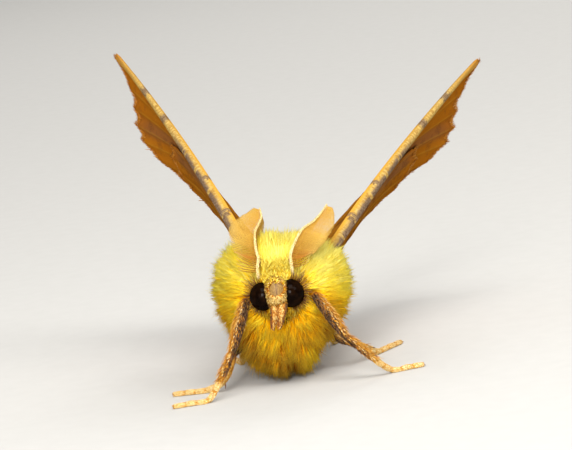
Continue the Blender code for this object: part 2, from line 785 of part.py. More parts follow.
# Legs in the floor's frame: root, knee, foot of the tibia, and the tarsus to its tip.
LEGS = {
    "foreleg_right": (
        (-1.15, -2.5, 5.0), (-2.1, -4.0, 2.62), (-3.0, -4.25, 1.1), (-3.75, -4.5, 0.3),
        (-5.6, -4.9, SOLE),
    ),
    "foreleg_left": (
        (2.55, -2.5, 4.85), (3.95, -3.7, 2.6), (5.35, -3.3, 1.0), (6.2, -2.6, 0.24),
        (7.85, -2.0, SOLE),
    ),
    "midleg_right": (
        (-1.8, -0.6, 2.5), (-2.3, -1.1, 1.9), (-3.0, -1.9, 0.62), (-4.0, -1.75, 0.2),
        (-5.85, -1.6, SOLE),
    ),
    "midleg_left": (
        (2.95, 0.1, 2.2), (3.85, 0.3, 1.45), (4.8, 2.0, 0.60), (5.25, 3.0, 0.2), (6.5, 5.1, SOLE),
    ),
    "hindleg_right": (
        (-1.1, 2.0, 2.5), (-2.6, 3.4, 2.3), (-2.35, 4.3, 0.7), (-2.5, 4.9, 0.2), (-3.2, 6.5, SOLE),
    ),
    "hindleg_left": (
        (2.1, 2.3, 2.3), (3.0, 4.4, 2.0), (2.6, 6.7, 0.7), (2.7, 7.5, 0.2), (3.0, 9.3, SOLE),
    ),
}

# Half the thickness of a leg at each station: femur, tibia, tarsus.
LEG_HALF = (0.40, 0.44, 0.40, 0.33, 0.36, 0.36, 0.29, 0.28, 0.27, 0.27, 0.25)

# Where along the tibia each kind of leg has its pairs of spurs.
SPURS = {"fore": (), "mid": (0.97,), "hind": (0.60, 0.97)}
SPUR_HALF = (0.16, 0.13, 0.08)


def build_leg(name, stations, finish):
    """A leg as one bent tube: femur, tibia with its spurs, and a tarsus that lies flat."""
    root, knee, ankle, sole, tip = (np.array(p) for p in stations)
    femur = [root + (knee - root) * t for t in (0, 0.35, 0.7)]
    tibia = [knee + (ankle - knee) * t for t in (0.0, 0.35, 0.7)]
    foot = [ankle, sole] + [sole + (tip - sole) * t for t in (0.33, 0.66, 1.0)]
    path = np.array(femur + tibia + foot)
    half = np.array(LEG_HALF)
    flat = unit(np.cross(knee - root, ankle - knee))
    pieces = [tube(path, half, half, flat, 8, end_point=tip + unit(tip - sole) * 0.18)]
    down = unit(ankle - knee)
    for at in SPURS[name.split("leg")[0]]:
        for side in (-1, 1):
            start = knee + (ankle - knee) * at
            away = unit(down + flat * side * 0.55 + np.array((0, 0, 0.15)))
            spur = np.array([start, start + away * 0.35, start + away * 0.62])
            pieces.append(tube(spur, SPUR_HALF, SPUR_HALF, flat, 5, end_point=start + away * 0.8))
    made = joined(name, pieces, finish)
    for vertex in made.data.vertices:
        vertex.co.z = max(vertex.co.z, 0.0)
    return made


def settle(nodes):
    """Scales the nodes from millimetres to metres and puts the model's middle on the origin."""
    change = Matrix.Scale(MM, 4) @ Matrix.Translation(-MODEL_MIDDLE)
    for node in nodes:
        node.data.transform(change)
        node.data.update()
        node.data.shade_smooth()
        node.data.set_sharp_from_angle(angle=math.radians(35))


def part_head(head, eyes, palps, feelers):
    """Cuts the head clear of its small pieces, and the palps clear of the eyes."""
    cut_clear(head, [points_of(piece) for piece in eyes], SMALL_GAP)
    for palp, eye in zip(palps, eyes):
        cut_clear(palp, [points_of(eye)], SMALL_GAP)
    cut_clear(head, [points_of(piece) for piece in palps], SMALL_GAP)
    for feeler in feelers:
        points = points_of(feeler)
        start = antenna_path(1 if feeler.name.endswith("left") else -1, 12)[0]
        far = np.linalg.norm(points - start, axis=1)
        cut_clear(head, [points[far < 0.9], points[(far > 0.6) & (far < 1.9)]], SMALL_GAP)


def part_thorax(thorax, head_nodes, feelers, wings, abdomen, legs):
    """Cuts the thorax and its coat clear of every node that meets it."""
    groups = [points_of(node) for node in head_nodes]
    for feeler in feelers:
        groups += chunks(feeler, (0, 1, 0), 5, -3.6, 2.2)
    for wing in wings:
        groups.append(near(wing, (0, 1, 0), -2.0, 6.6))
    for leg, stations in zip(legs, LEGS.values()):
        root, knee = np.array(stations[0]), np.array(stations[1])
        way = unit(knee - root)
        groups.append(near(leg, way, root @ way - 1.0, knee @ way + 0.3))
    cut_clear(thorax, groups)
    cut_clear(thorax, [near(abdomen, (0, 1, 0), 0.0, 6.0)], ABDOMEN_GAP)
    for vertex in thorax.data.vertices:
        vertex.co.z = max(vertex.co.z, BELLY_CLEAR)


def main():
    """Builds every node of the moth."""
    for old in list(bpy.data.objects):
        bpy.data.objects.remove(old)
    draw = random.Random(SEED)
    canary = material("canary_fur", (0.83, 0.66, 0.07), 0.9)
    face = material("face_scales", (0.72, 0.55, 0.22), 0.8)
    dark_eye = material("eye_black", (0.012, 0.008, 0.006), 0.12)
    comb = material("feeler_ochre", (0.76, 0.45, 0.12), 0.7)
    ochre = material("wing_ochre", (0.62, 0.30, 0.06), 0.75)
    pale = material("abdomen_ochre", (0.70, 0.47, 0.15), 0.85)
    mottled = material("leg_scales", (0.60, 0.40, 0.18), 0.8)

    head = build_head(face, draw)
    eyes = [build_eye("eye_right", -1, dark_eye), build_eye("eye_left", 1, dark_eye)]
    palps = [build_palp("palp_right", -1, face), build_palp("palp_left", 1, face)]
    feelers = [build_antenna("antenna_right", -1, comb), build_antenna("antenna_left", 1, comb)]
    wings = [
        build_wing(f"{kind}_{name}", side, shape, ochre)
        for kind, shape in (("forewing", FOREWING), ("hindwing", HINDWING))
        for name, side in (("right", -1), ("left", 1))
    ]
    abdomen = build_abdomen(pale, draw)
    legs = [build_leg(name, stations, mottled) for name, stations in LEGS.items()]
    thorax = build_thorax(canary, draw)

    part_head(head, eyes, palps, feelers)
    part_thorax(thorax, [head, *palps, *eyes], feelers, wings, abdomen, legs)
    settle([head, thorax, abdomen, *palps, *eyes, *feelers, *wings, *legs])


main()
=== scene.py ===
"""The looks of a canary-shouldered thorn moth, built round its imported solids.

Sizes are millimetres. Three frames are used. The floor frame has the floor at z = 0, the head
towards -Y and the moth's left at +X. The body frame is the same, leaned to the moth's left.
The head frame has its origin in the middle of the head and is level with the floor.
"""

import itertools
import logging
import math
from dataclasses import dataclass, field
from enum import Enum
from functools import cached_property
from typing import Callable, Optional, Sequence

import bpy
import numpy as np
from mathutils import Matrix, Vector


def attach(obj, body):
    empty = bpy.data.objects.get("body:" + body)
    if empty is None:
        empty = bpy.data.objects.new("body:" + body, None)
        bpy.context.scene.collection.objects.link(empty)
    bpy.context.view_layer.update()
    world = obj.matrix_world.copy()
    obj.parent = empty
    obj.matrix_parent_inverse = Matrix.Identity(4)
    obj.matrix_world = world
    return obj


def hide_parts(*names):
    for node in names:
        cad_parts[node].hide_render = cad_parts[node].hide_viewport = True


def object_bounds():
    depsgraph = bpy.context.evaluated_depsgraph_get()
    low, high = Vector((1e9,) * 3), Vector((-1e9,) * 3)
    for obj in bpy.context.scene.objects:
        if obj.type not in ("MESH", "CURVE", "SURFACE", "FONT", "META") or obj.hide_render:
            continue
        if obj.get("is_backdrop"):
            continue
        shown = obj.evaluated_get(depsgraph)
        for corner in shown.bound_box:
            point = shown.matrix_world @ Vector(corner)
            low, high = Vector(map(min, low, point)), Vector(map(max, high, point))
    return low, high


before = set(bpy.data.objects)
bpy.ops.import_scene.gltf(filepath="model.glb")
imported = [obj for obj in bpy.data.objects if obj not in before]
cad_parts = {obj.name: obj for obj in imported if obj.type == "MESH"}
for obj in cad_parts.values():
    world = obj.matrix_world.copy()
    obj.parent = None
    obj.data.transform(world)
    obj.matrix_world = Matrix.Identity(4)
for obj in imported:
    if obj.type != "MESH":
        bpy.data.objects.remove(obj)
CAD_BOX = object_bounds()

Array = np.ndarray
Rng = np.random.Generator
LOG = logging.getLogger("moth")
MM = 0.001
BAKE_UV = "OFBake"
BAKE_PATCH = 0.003  # The side of a tuft's square on the bake map.
PIECE_TRIANGLES = 190_000  # The most that one piece of a coat may have.
TUFT_FLOOR = 0.02  # The least height of a tuft's points.
BARE = 1e-9  # A density so small that nothing grows there.
PLAN_UNIT = 20.0  # What a unit of the wings' plan measures.


class Slot(Enum):
    """The record's material slots."""

    FUR = "canary_fur"
    FACE = "face_scales"
    EYE = "eye_black"
    FEELER = "feeler_ochre"
    WING = "wing_ochre"
    ABDOMEN = "abdomen_ochre"
    LEG = "leg_scales"


class Side(Enum):
    """A side of the moth, as the sign of its X."""

    RIGHT = -1
    LEFT = 1

    @property
    def word(self) -> str:
        """The side's name in lower case."""
        return self.name.lower()


@dataclass(frozen=True)
class Stance:
    """How the body and the head stand on the floor, and where the model's origin is.

    Attributes:
        lean: The angle from the body frame to the floor frame, about the Y axis.
        head_turn: The angle from the floor frame to the head frame, about the Z axis.
        head_at: The middle of the head in the floor frame.
        middle: The point of the floor below the middle of the whole model.
    """

    lean: float = math.radians(8.0)
    head_turn: float = math.radians(-3.0)
    head_at: tuple = (0.66, -3.0, 5.25)
    middle: tuple = (2.4, 5.2, 0.0)

    def leaned(self, points: Array, angle: float) -> Array:
        """Points or ways turned about Y: x' = x cos + z sin, z' = z cos - x sin.

        Args:
            points: Points or ways in either frame.
            angle: The angle of the turn.

        Returns:
            As many points or ways.
        """
        points = np.asarray(points, float)
        x, z = points[..., 0], points[..., 2]
        cos, sin = math.cos(angle), math.sin(angle)
        return np.stack([x * cos + z * sin, points[..., 1], z * cos - x * sin], axis=-1)

    def from_body(self, points: Array) -> Array:
        """Body-frame points or ways in the floor frame."""
        return self.leaned(points, self.lean)

    def to_body(self, points: Array) -> Array:
        """Floor-frame points or ways in the body frame."""
        return self.leaned(points, -self.lean)

    def turn_head(self, ways: Array, sign: int = 1) -> Array:
        """Head-frame ways in the floor frame, or with a sign of -1 the other way round.

        Args:
            ways: The ways to turn.
            sign: 1 from the head to the floor frame, -1 back.

        Returns:
            As many ways.
        """
        cos, sin = math.cos(self.head_turn), sign * math.sin(self.head_turn)
        turn = np.array(((cos, -sin, 0.0), (sin, cos, 0.0), (0.0, 0.0, 1.0)))
        return np.asarray(ways, float) @ turn.T

    def from_head(self, points: Array) -> Array:
        """Head-frame points in the floor frame."""
        return self.turn_head(points) + np.array(self.head_at)

    def to_head(self, points: Array) -> Array:
        """Floor-frame points in the head frame."""
        return self.turn_head(points - np.array(self.head_at), -1)

    def to_row(self, points: Array) -> Array:
        """Floor-frame millimetres in the model's own frame, in metres."""
        return (np.asarray(points, float) - np.array(self.middle)) * MM


STANCE = Stance()


def unit(vectors: Array) -> Array:
    """Vectors at length one."""
    vectors = np.asarray(vectors, float)
    return vectors / np.maximum(np.linalg.norm(vectors, axis=-1, keepdims=True), 1e-12)


def dot(a: Array, b: Array) -> Array:
    """The dot product of each pair of vectors."""
    return (np.asarray(a) * np.asarray(b)).sum(axis=-1)


def smooth_step(value: Array, start: float, end: float) -> Array:
    """0 before start and 1 after end, with the cubic 3t2 - 2t3 between them."""
    t = np.clip((np.asarray(value, float) - start) / (end - start), 0.0, 1.0)
    return t * t * (3 - 2 * t)


def bump(value: Array, middle: float, width: float) -> Array:
    """A bell of height one: e to the minus squared distance from middle in widths."""
    return np.exp(-((np.asarray(value, float) - middle) / width) ** 2)


def curve_through(points: Sequence, count: int) -> Array:
    """Evenly spaced points on a Catmull-Rom curve.

    Each stretch is the cubic whose end slopes are half the chord of the neighbouring points.

    Args:
        points: The points that the curve passes.
        count: How many points to return.

    Returns:
        An array of count points.
    """
    points = np.asarray(points, float)
    ends = np.vstack([2 * points[0] - points[1], points, 2 * points[-1] - points[-2]])
    p0, p1, p2, p3 = (ends[k:len(ends) - 3 + k, None, :] for k in range(4))
    t = np.linspace(0, 1, 24, endpoint=False)[None, :, None]
    fine = 0.5 * (
        2 * p1 + (p2 - p0) * t + (2 * p0 - 5 * p1 + 4 * p2 - p3) * t ** 2
        + (3 * p1 - p0 - 3 * p2 + p3) * t ** 3
    )
    fine = np.vstack([fine.reshape(-1, points.shape[1]), points[-1:]])
    steps = np.concatenate([[0], np.cumsum(np.linalg.norm(np.diff(fine, axis=0), axis=1))])
    wanted = np.linspace(0, steps[-1], count)
    return np.stack([np.interp(wanted, steps, fine[:, k]) for k in range(fine.shape[1])], axis=1)


def cell_noise(cells: Array, lane: int) -> Array:
    """A number from 0 to 1 for each whole-number cell: its coordinates mixed by odd factors.

    Args:
        cells: Whole numbers, three a cell.
        lane: Which of many unlike numbers to draw for the same cells.

    Returns:
        One number a cell.
    """
    x, y, z = (cells[..., k].astype(np.int64).astype(np.uint32) for k in range(3))
    mixed = x * np.uint32(73856093) ^ y * np.uint32(19349663) ^ z * np.uint32(83492791)
    mixed = mixed ^ np.uint32((lane * 2654435761) % 2 ** 32)
    for shift, factor in ((15, 2246822519), (13, 3266489917)):
        mixed = (mixed ^ (mixed >> np.uint32(shift))) * np.uint32(factor)
    return (mixed ^ (mixed >> np.uint32(16))) / 2.0 ** 32


def nearest_seed(places: Array, size: float, lane: int = 0) -> tuple:
    """The nearest of one random seed point in each cell of a cubic grid.

    Args:
        places: Points.
        size: The side of a cell.
        lane: Which of many unlike sets of seeds to use.

    Returns:
        The seed nearest each place, and that seed's own number from 0 to 1.
    """
    home = np.floor(places / size)
    nearest = np.full(len(places), np.inf)
    seeds, numbers = np.zeros_like(places), np.zeros(len(places))
    for shift in itertools.product((-1, 0, 1), repeat=3):
        cell = home + np.array(shift)
        seed = (cell + np.stack([cell_noise(cell, lane + k) for k in range(3)], axis=1)) * size
        far = np.linalg.norm(seed - places, axis=1)
        closer = far < nearest
        nearest = np.where(closer, far, nearest)
        seeds[closer] = seed[closer]
        numbers[closer] = cell_noise(cell, lane + 3)[closer]
    return seeds, numbers


def facing_out(points: Array, faces: Sequence) -> list:
    """The faces of a closed mesh, turned over if its signed volume is negative.

    Args:
        points: The mesh's points.
        faces: Blocks of faces, each an array of one row of point numbers a face.

    Returns:
        Blocks of the same faces.
    """
    volume = 0.0
    for block in faces:
        for k in range(1, block.shape[1] - 1):
            a, b, c = (points[block[:, j]] for j in (0, k, k + 1))
            volume += dot(a, np.cross(b, c)).sum()
    return [block[:, ::-1] for block in faces] if volume < 0 else list(faces)


def write_mesh(name: str, points: Array, faces: Sequence, values: Optional[dict] = None,
               uv: Optional[dict] = None, smooth: bool = True) -> bpy.types.Object:
    """A mesh object from whole arrays.

    Args:
        name: The object's name.
        points: Points in the floor frame.
        faces: Blocks of faces, each an array of one row of point numbers a face.
        values: Named numbers, one a point or one for all.
        uv: Named UV maps, one pair a point.
        smooth: Whether the faces are shaded smooth.

    Returns:
        The new object, at the origin, unturned and unscaled.
    """
    mesh = bpy.data.meshes.new(name)
    corners = np.concatenate([block.ravel() for block in faces]).astype(np.int32)
    sizes = np.concatenate([np.full(len(block), block.shape[1]) for block in faces])
    starts = np.concatenate([[0], np.cumsum(sizes)[:-1]]).astype(np.int32)
    mesh.vertices.add(len(points))
    mesh.vertices.foreach_set("co", STANCE.to_row(points).astype(np.float32).ravel())
    mesh.loops.add(len(corners))
    mesh.loops.foreach_set("vertex_index", corners)
    mesh.polygons.add(len(sizes))
    mesh.polygons.foreach_set("loop_start", starts)
    mesh.polygons.foreach_set("use_smooth", np.full(len(sizes), smooth))
    mesh.update(calc_edges=True)
    for key, numbers in (values or {}).items():
        layer = mesh.attributes.new(key, "FLOAT", "POINT")
        numbers = np.ascontiguousarray(np.broadcast_to(numbers, len(points)), np.float32)
        layer.data.foreach_set("value", numbers)
    for key, pairs in (uv or {}).items():
        layer = mesh.uv_layers.new(name=key)
        layer.data.foreach_set("uv", np.asarray(pairs, np.float32)[corners].ravel())
    made = bpy.data.objects.new(name, mesh)
    bpy.context.scene.collection.objects.link(made)
    return made


def dress(piece: bpy.types.Object, material: bpy.types.Material, slot: Slot,
          replaces: Sequence[str] = ()) -> None:
    """Gives a piece its material and its body, and says what it stands for.

    Args:
        piece: The object.
        material: Its only material.
        slot: The record's slot for it; not used.
        replaces: The nodes of the solid model that it stands for.
    """
    piece.data.materials.append(material)
    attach(piece, "root")
    slot.value
    if replaces:
        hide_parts(*replaces)
    LOG.info("%s: %d faces, for %s", piece.name, len(piece.data.polygons), list(replaces))


@dataclass
class Roots:
    """Where tufts grow: points on a surface, their normals and their place on its unwrap."""

    place: Array
    normal: Array
    uv: Array

    def __len__(self) -> int:
        """How many roots there are."""
        return len(self.place)

    def kept(self, mask: Array) -> "Roots":
        """Only the roots that the mask names."""
        return Roots(self.place[mask], self.normal[mask], self.uv[mask])


@dataclass
class Surface:
    """A closed surface as rings of points from one pole to the other.

    Its own unwrap is the cylinder's: round each ring, and from ring to ring.
    """

    rings: Array
    start: Array
    end: Array

    def normals(self) -> Array:
        """Outward normals: the cross product of the steps along and round the rings.

        Returns:
            One normal of length one for each point of the rings.
        """
        along = np.gradient(self.rings, axis=0)
        around = np.roll(self.rings, -1, axis=1) - np.roll(self.rings, 1, axis=1)
        normals = unit(np.cross(around, along))
        outward = dot(normals, self.rings - self.rings.mean(axis=1, keepdims=True)).sum()
        return normals if outward > 0 else -normals

    def mesh(self) -> tuple:
        """Points and outward faces: quads between rings and a fan of triangles at each pole.

        Returns:
            The points, and the blocks of faces.
        """
        rows, columns = self.rings.shape[:2]
        points = np.vstack([self.rings.reshape(-1, 3), self.start[None], self.end[None]])
        ring = np.arange(columns)
        after = (ring + 1) % columns
        row = (np.arange(rows - 1) * columns)[:, None]
        quads = np.stack([row + ring, row + after, row + columns + after, row + columns + ring],
                         axis=-1)
        first, last = rows * columns, (rows - 1) * columns
        fans = np.vstack([
            np.stack([after, ring, np.full(columns, first)], axis=-1),
            np.stack([last + ring, last + after, np.full(columns, first + 1)], axis=-1),
        ])
        return points, facing_out(points, [quads.reshape(-1, 4), fans])

    def moved(self, way: Callable[[Array], Array]) -> "Surface":
        """The surface with all its points carried by a function."""
        return Surface(way(self.rings), way(self.start), way(self.end))

    def build(self, name: str, material: bpy.types.Material, slot: Slot,
              replaces: Sequence[str] = (), values: Optional[dict] = None) -> None:
        """Makes the surface as a piece, from what write_mesh and dress take."""
        dress(write_mesh(name, *self.mesh(), values), material, slot, replaces)

    def scatter(self, count: int, rng: Rng,
                weight: Optional[Callable[[Array, Array], Array]] = None) -> Roots:
        """Roots spread over the surface, as many for each area as the weight says.

        A cell between two rings is picked with a chance of its area times its weight, and the
        root lies at random in it, on the bilinear patch of its corners.

        Args:
            count: How many roots.
            rng: The source of random numbers.
            weight: A density for each place, from the places and their normals.

        Returns:
            The roots.
        """
        corners, sloped = ([grid[:-1], np.roll(grid, -1, axis=1)[:-1], grid[1:],
                            np.roll(grid, -1, axis=1)[1:]] for grid in (self.rings, self.normals()))
        area = np.linalg.norm(np.cross(corners[3] - corners[0], corners[2] - corners[1]), axis=-1)
        chance = area.ravel()
        if weight is not None:
            middle = sum(corners).reshape(-1, 3) / 4
            chance = chance * weight(middle, unit(sum(sloped).reshape(-1, 3)))
        marks = (np.arange(count) + rng.random(count)) / count
        cell = np.searchsorted(np.cumsum(chance) / chance.sum(), marks).clip(0, len(chance) - 1)
        p, q = rng.random((2, count, 1))
        shares = ((1 - p) * (1 - q), (1 - p) * q, p * (1 - q), p * q)
        place = sum(s * c.reshape(-1, 3)[cell] for s, c in zip(shares, corners))
        normal = unit(sum(s * c.reshape(-1, 3)[cell] for s, c in zip(shares, sloped)))
        rows, columns = self.rings.shape[:2]
        across, along = cell % columns + q[:, 0], cell // columns + p[:, 0]
        return Roots(place, normal, np.stack([across / columns, along / (rows - 1)], axis=1))


def tube(path: Array, half_width: Array, half_thick: Array, flat_way: Array,
         sides: int) -> Surface:
    """A tube along a path: at each point an oval across it, its wide axis nearest flat_way.

    Args:
        path: The middle of each ring.
        half_width: Half the oval's width at each ring.
        half_thick: Half its thickness.
        flat_way: The way of its width.
        sides: How many points a ring has.

    Returns:
        The tube.
    """
    along = unit(np.gradient(path, axis=0))
    flat_way = np.broadcast_to(np.asarray(flat_way, float), path.shape)
    wide = unit(flat_way - dot(flat_way, along)[:, None] * along)
    thin = np.cross(along, wide)
    angle = np.arange(sides) * (2 * math.pi / sides)
    half_width = np.broadcast_to(half_width, len(path))[:, None, None]
    half_thick = np.broadcast_to(half_thick, len(path))[:, None, None]
    rings = (
        path[:, None] + wide[:, None] * np.cos(angle)[None, :, None] * half_width
        + thin[:, None] * np.sin(angle)[None, :, None] * half_thick
    )
    return Surface(rings, path[0], path[-1] + along[-1] * half_thick[-1, 0] * 0.6)


def ellipsoid(middle: Array, radii: Array, rows: int, sides: int) -> Surface:
    """An ellipsoid about its own Y axis, whose rings are spaced evenly by angle.

    Args:
        middle: Its middle.
        radii: Its three radii.
        rows: How many rings it has.
        sides: How many points a ring has.

    Returns:
        The ellipsoid.
    """
    middle, radii = np.asarray(middle, float), np.asarray(radii, float)
    polar = np.linspace(0, math.pi, rows + 2)[1:-1, None]
    angle = np.arange(sides)[None] * (2 * math.pi / sides)
    ball = np.stack([
        np.sin(polar) * np.cos(angle), np.broadcast_to(-np.cos(polar), (rows, sides)),
        np.sin(polar) * np.sin(angle),
    ], axis=-1)
    pole = np.array((0, radii[1], 0))
    return Surface(ball * radii + middle, middle - pole, middle + pole)


@dataclass
class TuftShape:
    """The form shared by the tufts of a coat.

    Attributes:
        stations: Where along the tuft its rings are, from root to tip.
        taper: The width at each station, as a share of the tuft's own width.
        flat: The thickness as a share of the width.
        sides: How many sides a ring has.
        sink: How far the root goes below the surface.
        waver: How far a tuft strays to one side at its tip, as a share of its length.
    """

    stations: Sequence[float] = (0.0, 0.42, 0.78)
    taper: Sequence[float] = (0.75, 1.0, 0.55)
    flat: float = 0.5
    sides: int = 3
    sink: float = 0.06
    waver: float = 0.08


SCALE = TuftShape(stations=(0.0, 0.55), taper=(0.7, 1.0), flat=0.3, sink=0.02)


@dataclass
class Tufts:
    """A coat of tufts: each leaves its root one way and turns evenly to another by its tip.

    At a share t of its length L a tuft is at root + L ((t - t2/2) first + t2/2 last), moved by
    t2 times its pull. All arrays have one row a tuft.
    """

    roots: Roots
    first: Array
    last: Array
    length: Array
    width: Array
    tone: Array
    shape: TuftShape = field(default_factory=TuftShape)
    pull: Optional[Array] = None

    def spine(self, share: Array) -> Array:
        """The middle of each tuft at each share of its length.

        Args:
            share: Shares of the length, from 0 at the root to 1 at the tip.

        Returns:
            Points, by tuft and share.
        """
        share = np.asarray(share, float)[None, :, None]
        long = self.length[:, None, None]
        here = self.roots.place[:, None] + long * (
            self.first[:, None] * (share - share ** 2 / 2) + self.last[:, None] * share ** 2 / 2
        )
        return here if self.pull is None else here + self.pull[:, None] * share ** 2

    def kept(self, mask: Array) -> "Tufts":
        """Only the tufts that the mask names."""
        pull = None if self.pull is None else self.pull[mask]
        return Tufts(self.roots.kept(mask), self.first[mask], self.last[mask], self.length[mask],
                     self.width[mask], self.tone[mask], self.shape, pull)

    def triangles(self) -> int:
        """How many triangles one tuft has: its sides, its tip and its root's cap."""
        rings, sides = len(self.shape.stations), self.shape.sides
        return 2 * (rings - 1) * sides + sides + sides - 2

    def arrays(self, rng: Rng) -> tuple:
        """The tufts as whole arrays, each ring a flattened polygon across its tuft.

        The bake map puts every tuft in a small square at its root's place on the unwrap of the
        surface that it grows from.

        Args:
            rng: The source of random numbers for how the tips stray.

        Returns:
            Points, faces, point values and UV maps, as write_mesh takes them.
        """
        shape, count = self.shape, len(self.roots)
        stations = np.asarray(shape.stations, float)
        spine = self.spine(np.append(stations, 1.0))
        side = unit(np.cross(self.roots.normal, self.first) + 1e-6)
        stray = side * (rng.normal(0, shape.waver, count) * self.length)[:, None]
        spine += stray[:, None] * (np.append(stations, 1.0) ** 2)[None, :, None]
        spine[:, 0] -= self.first * shape.sink
        way = unit(np.diff(spine, axis=1))
        across = unit(side[:, None] - dot(side[:, None], way)[..., None] * way)
        thin = np.cross(way, across)
        angle = np.arange(shape.sides) * (2 * math.pi / shape.sides) + math.pi / 2
        wide = self.width[:, None] / 2 * np.asarray(shape.taper)[None]
        rings = (
            spine[:, :-1, None]
            + across[:, :, None] * (wide[..., None] * np.cos(angle))[..., None]
            + thin[:, :, None] * (wide[..., None] * np.sin(angle) * shape.flat)[..., None]
        )
        each = len(stations) * shape.sides + 1
        points = np.concatenate([rings.reshape(count, -1, 3), spine[:, -1:]], axis=1)
        ring = np.arange(shape.sides)
        after = (ring + 1) % shape.sides
        row = (np.arange(len(stations) - 1) * shape.sides)[:, None]
        quads = np.stack([row + ring, row + after, row + shape.sides + after,
                          row + shape.sides + ring], axis=-1).reshape(-1, 4)
        last = (len(stations) - 1) * shape.sides
        tips = np.stack([last + ring, last + after, np.full(shape.sides, each - 1)], axis=-1)
        shift = (np.arange(count) * each)[:, None, None]
        faces = [(quads[None] + shift).reshape(-1, 4), (tips[None] + shift).reshape(-1, 3),
                 (ring[::-1][None, None] + shift).reshape(-1, shape.sides)]
        along = np.append(np.repeat(stations, shape.sides), 1.0)
        around = np.append(np.tile(ring / shape.sides, len(stations)), 0.5)
        patch = np.stack([around - 0.5, along - 0.5], axis=-1) * BAKE_PATCH
        bake = (self.roots.uv[:, None] + patch[None]).clip(0.0, 1.0)
        values = {"along": np.tile(along, count), "tone": np.repeat(self.tone.clip(0, 1), each)}
        return points.reshape(-1, 3), faces, values, {BAKE_UV: bake.reshape(-1, 2)}

    def build(self, name: str, material: bpy.types.Material, slot: Slot, seed: int) -> None:
        """Makes the coat as one piece, or as several where it has too many triangles.

        Args:
            name: The piece's name, with a number behind it where there are several.
            material: Its material.
            slot: The record's slot for it.
            seed: The seed of the first piece's random numbers.
        """
        parts = max(1, math.ceil(len(self.roots) * self.triangles() / PIECE_TRIANGLES))
        order = np.argsort(self.roots.uv[:, 0], kind="stable")
        for number, some in enumerate(np.array_split(order, parts)):
            points, *rest = self.kept(some).arrays(np.random.default_rng(seed + number))
            points[:, 2] = np.maximum(points[:, 2], TUFT_FLOOR)
            label = name if parts == 1 else f"{name}_{number + 1}"
            dress(write_mesh(label, points, *rest), material, slot)


def steps_beside(path: Array, roots: Roots) -> Array:
    """The step of a tube's path beside each root on the tube."""
    rows = (roots.uv[:, 1] * (len(path) - 1)).astype(int).clip(0, len(path) - 2)
    return np.diff(path, axis=0)[rows]


def along_surface(way: Array, normal: Array) -> Array:
    """The part of a way that lies in the surface, at length one."""
    way = np.asarray(way, float)
    return unit(way - dot(way, normal)[..., None] * normal)


def lifted(way: Array, normal: Array, angle: Array) -> Array:
    """A way in the surface, lifted off it by an angle in radians."""
    angle = np.broadcast_to(angle, len(way))[:, None]
    return way * np.cos(angle) + normal * np.sin(angle)


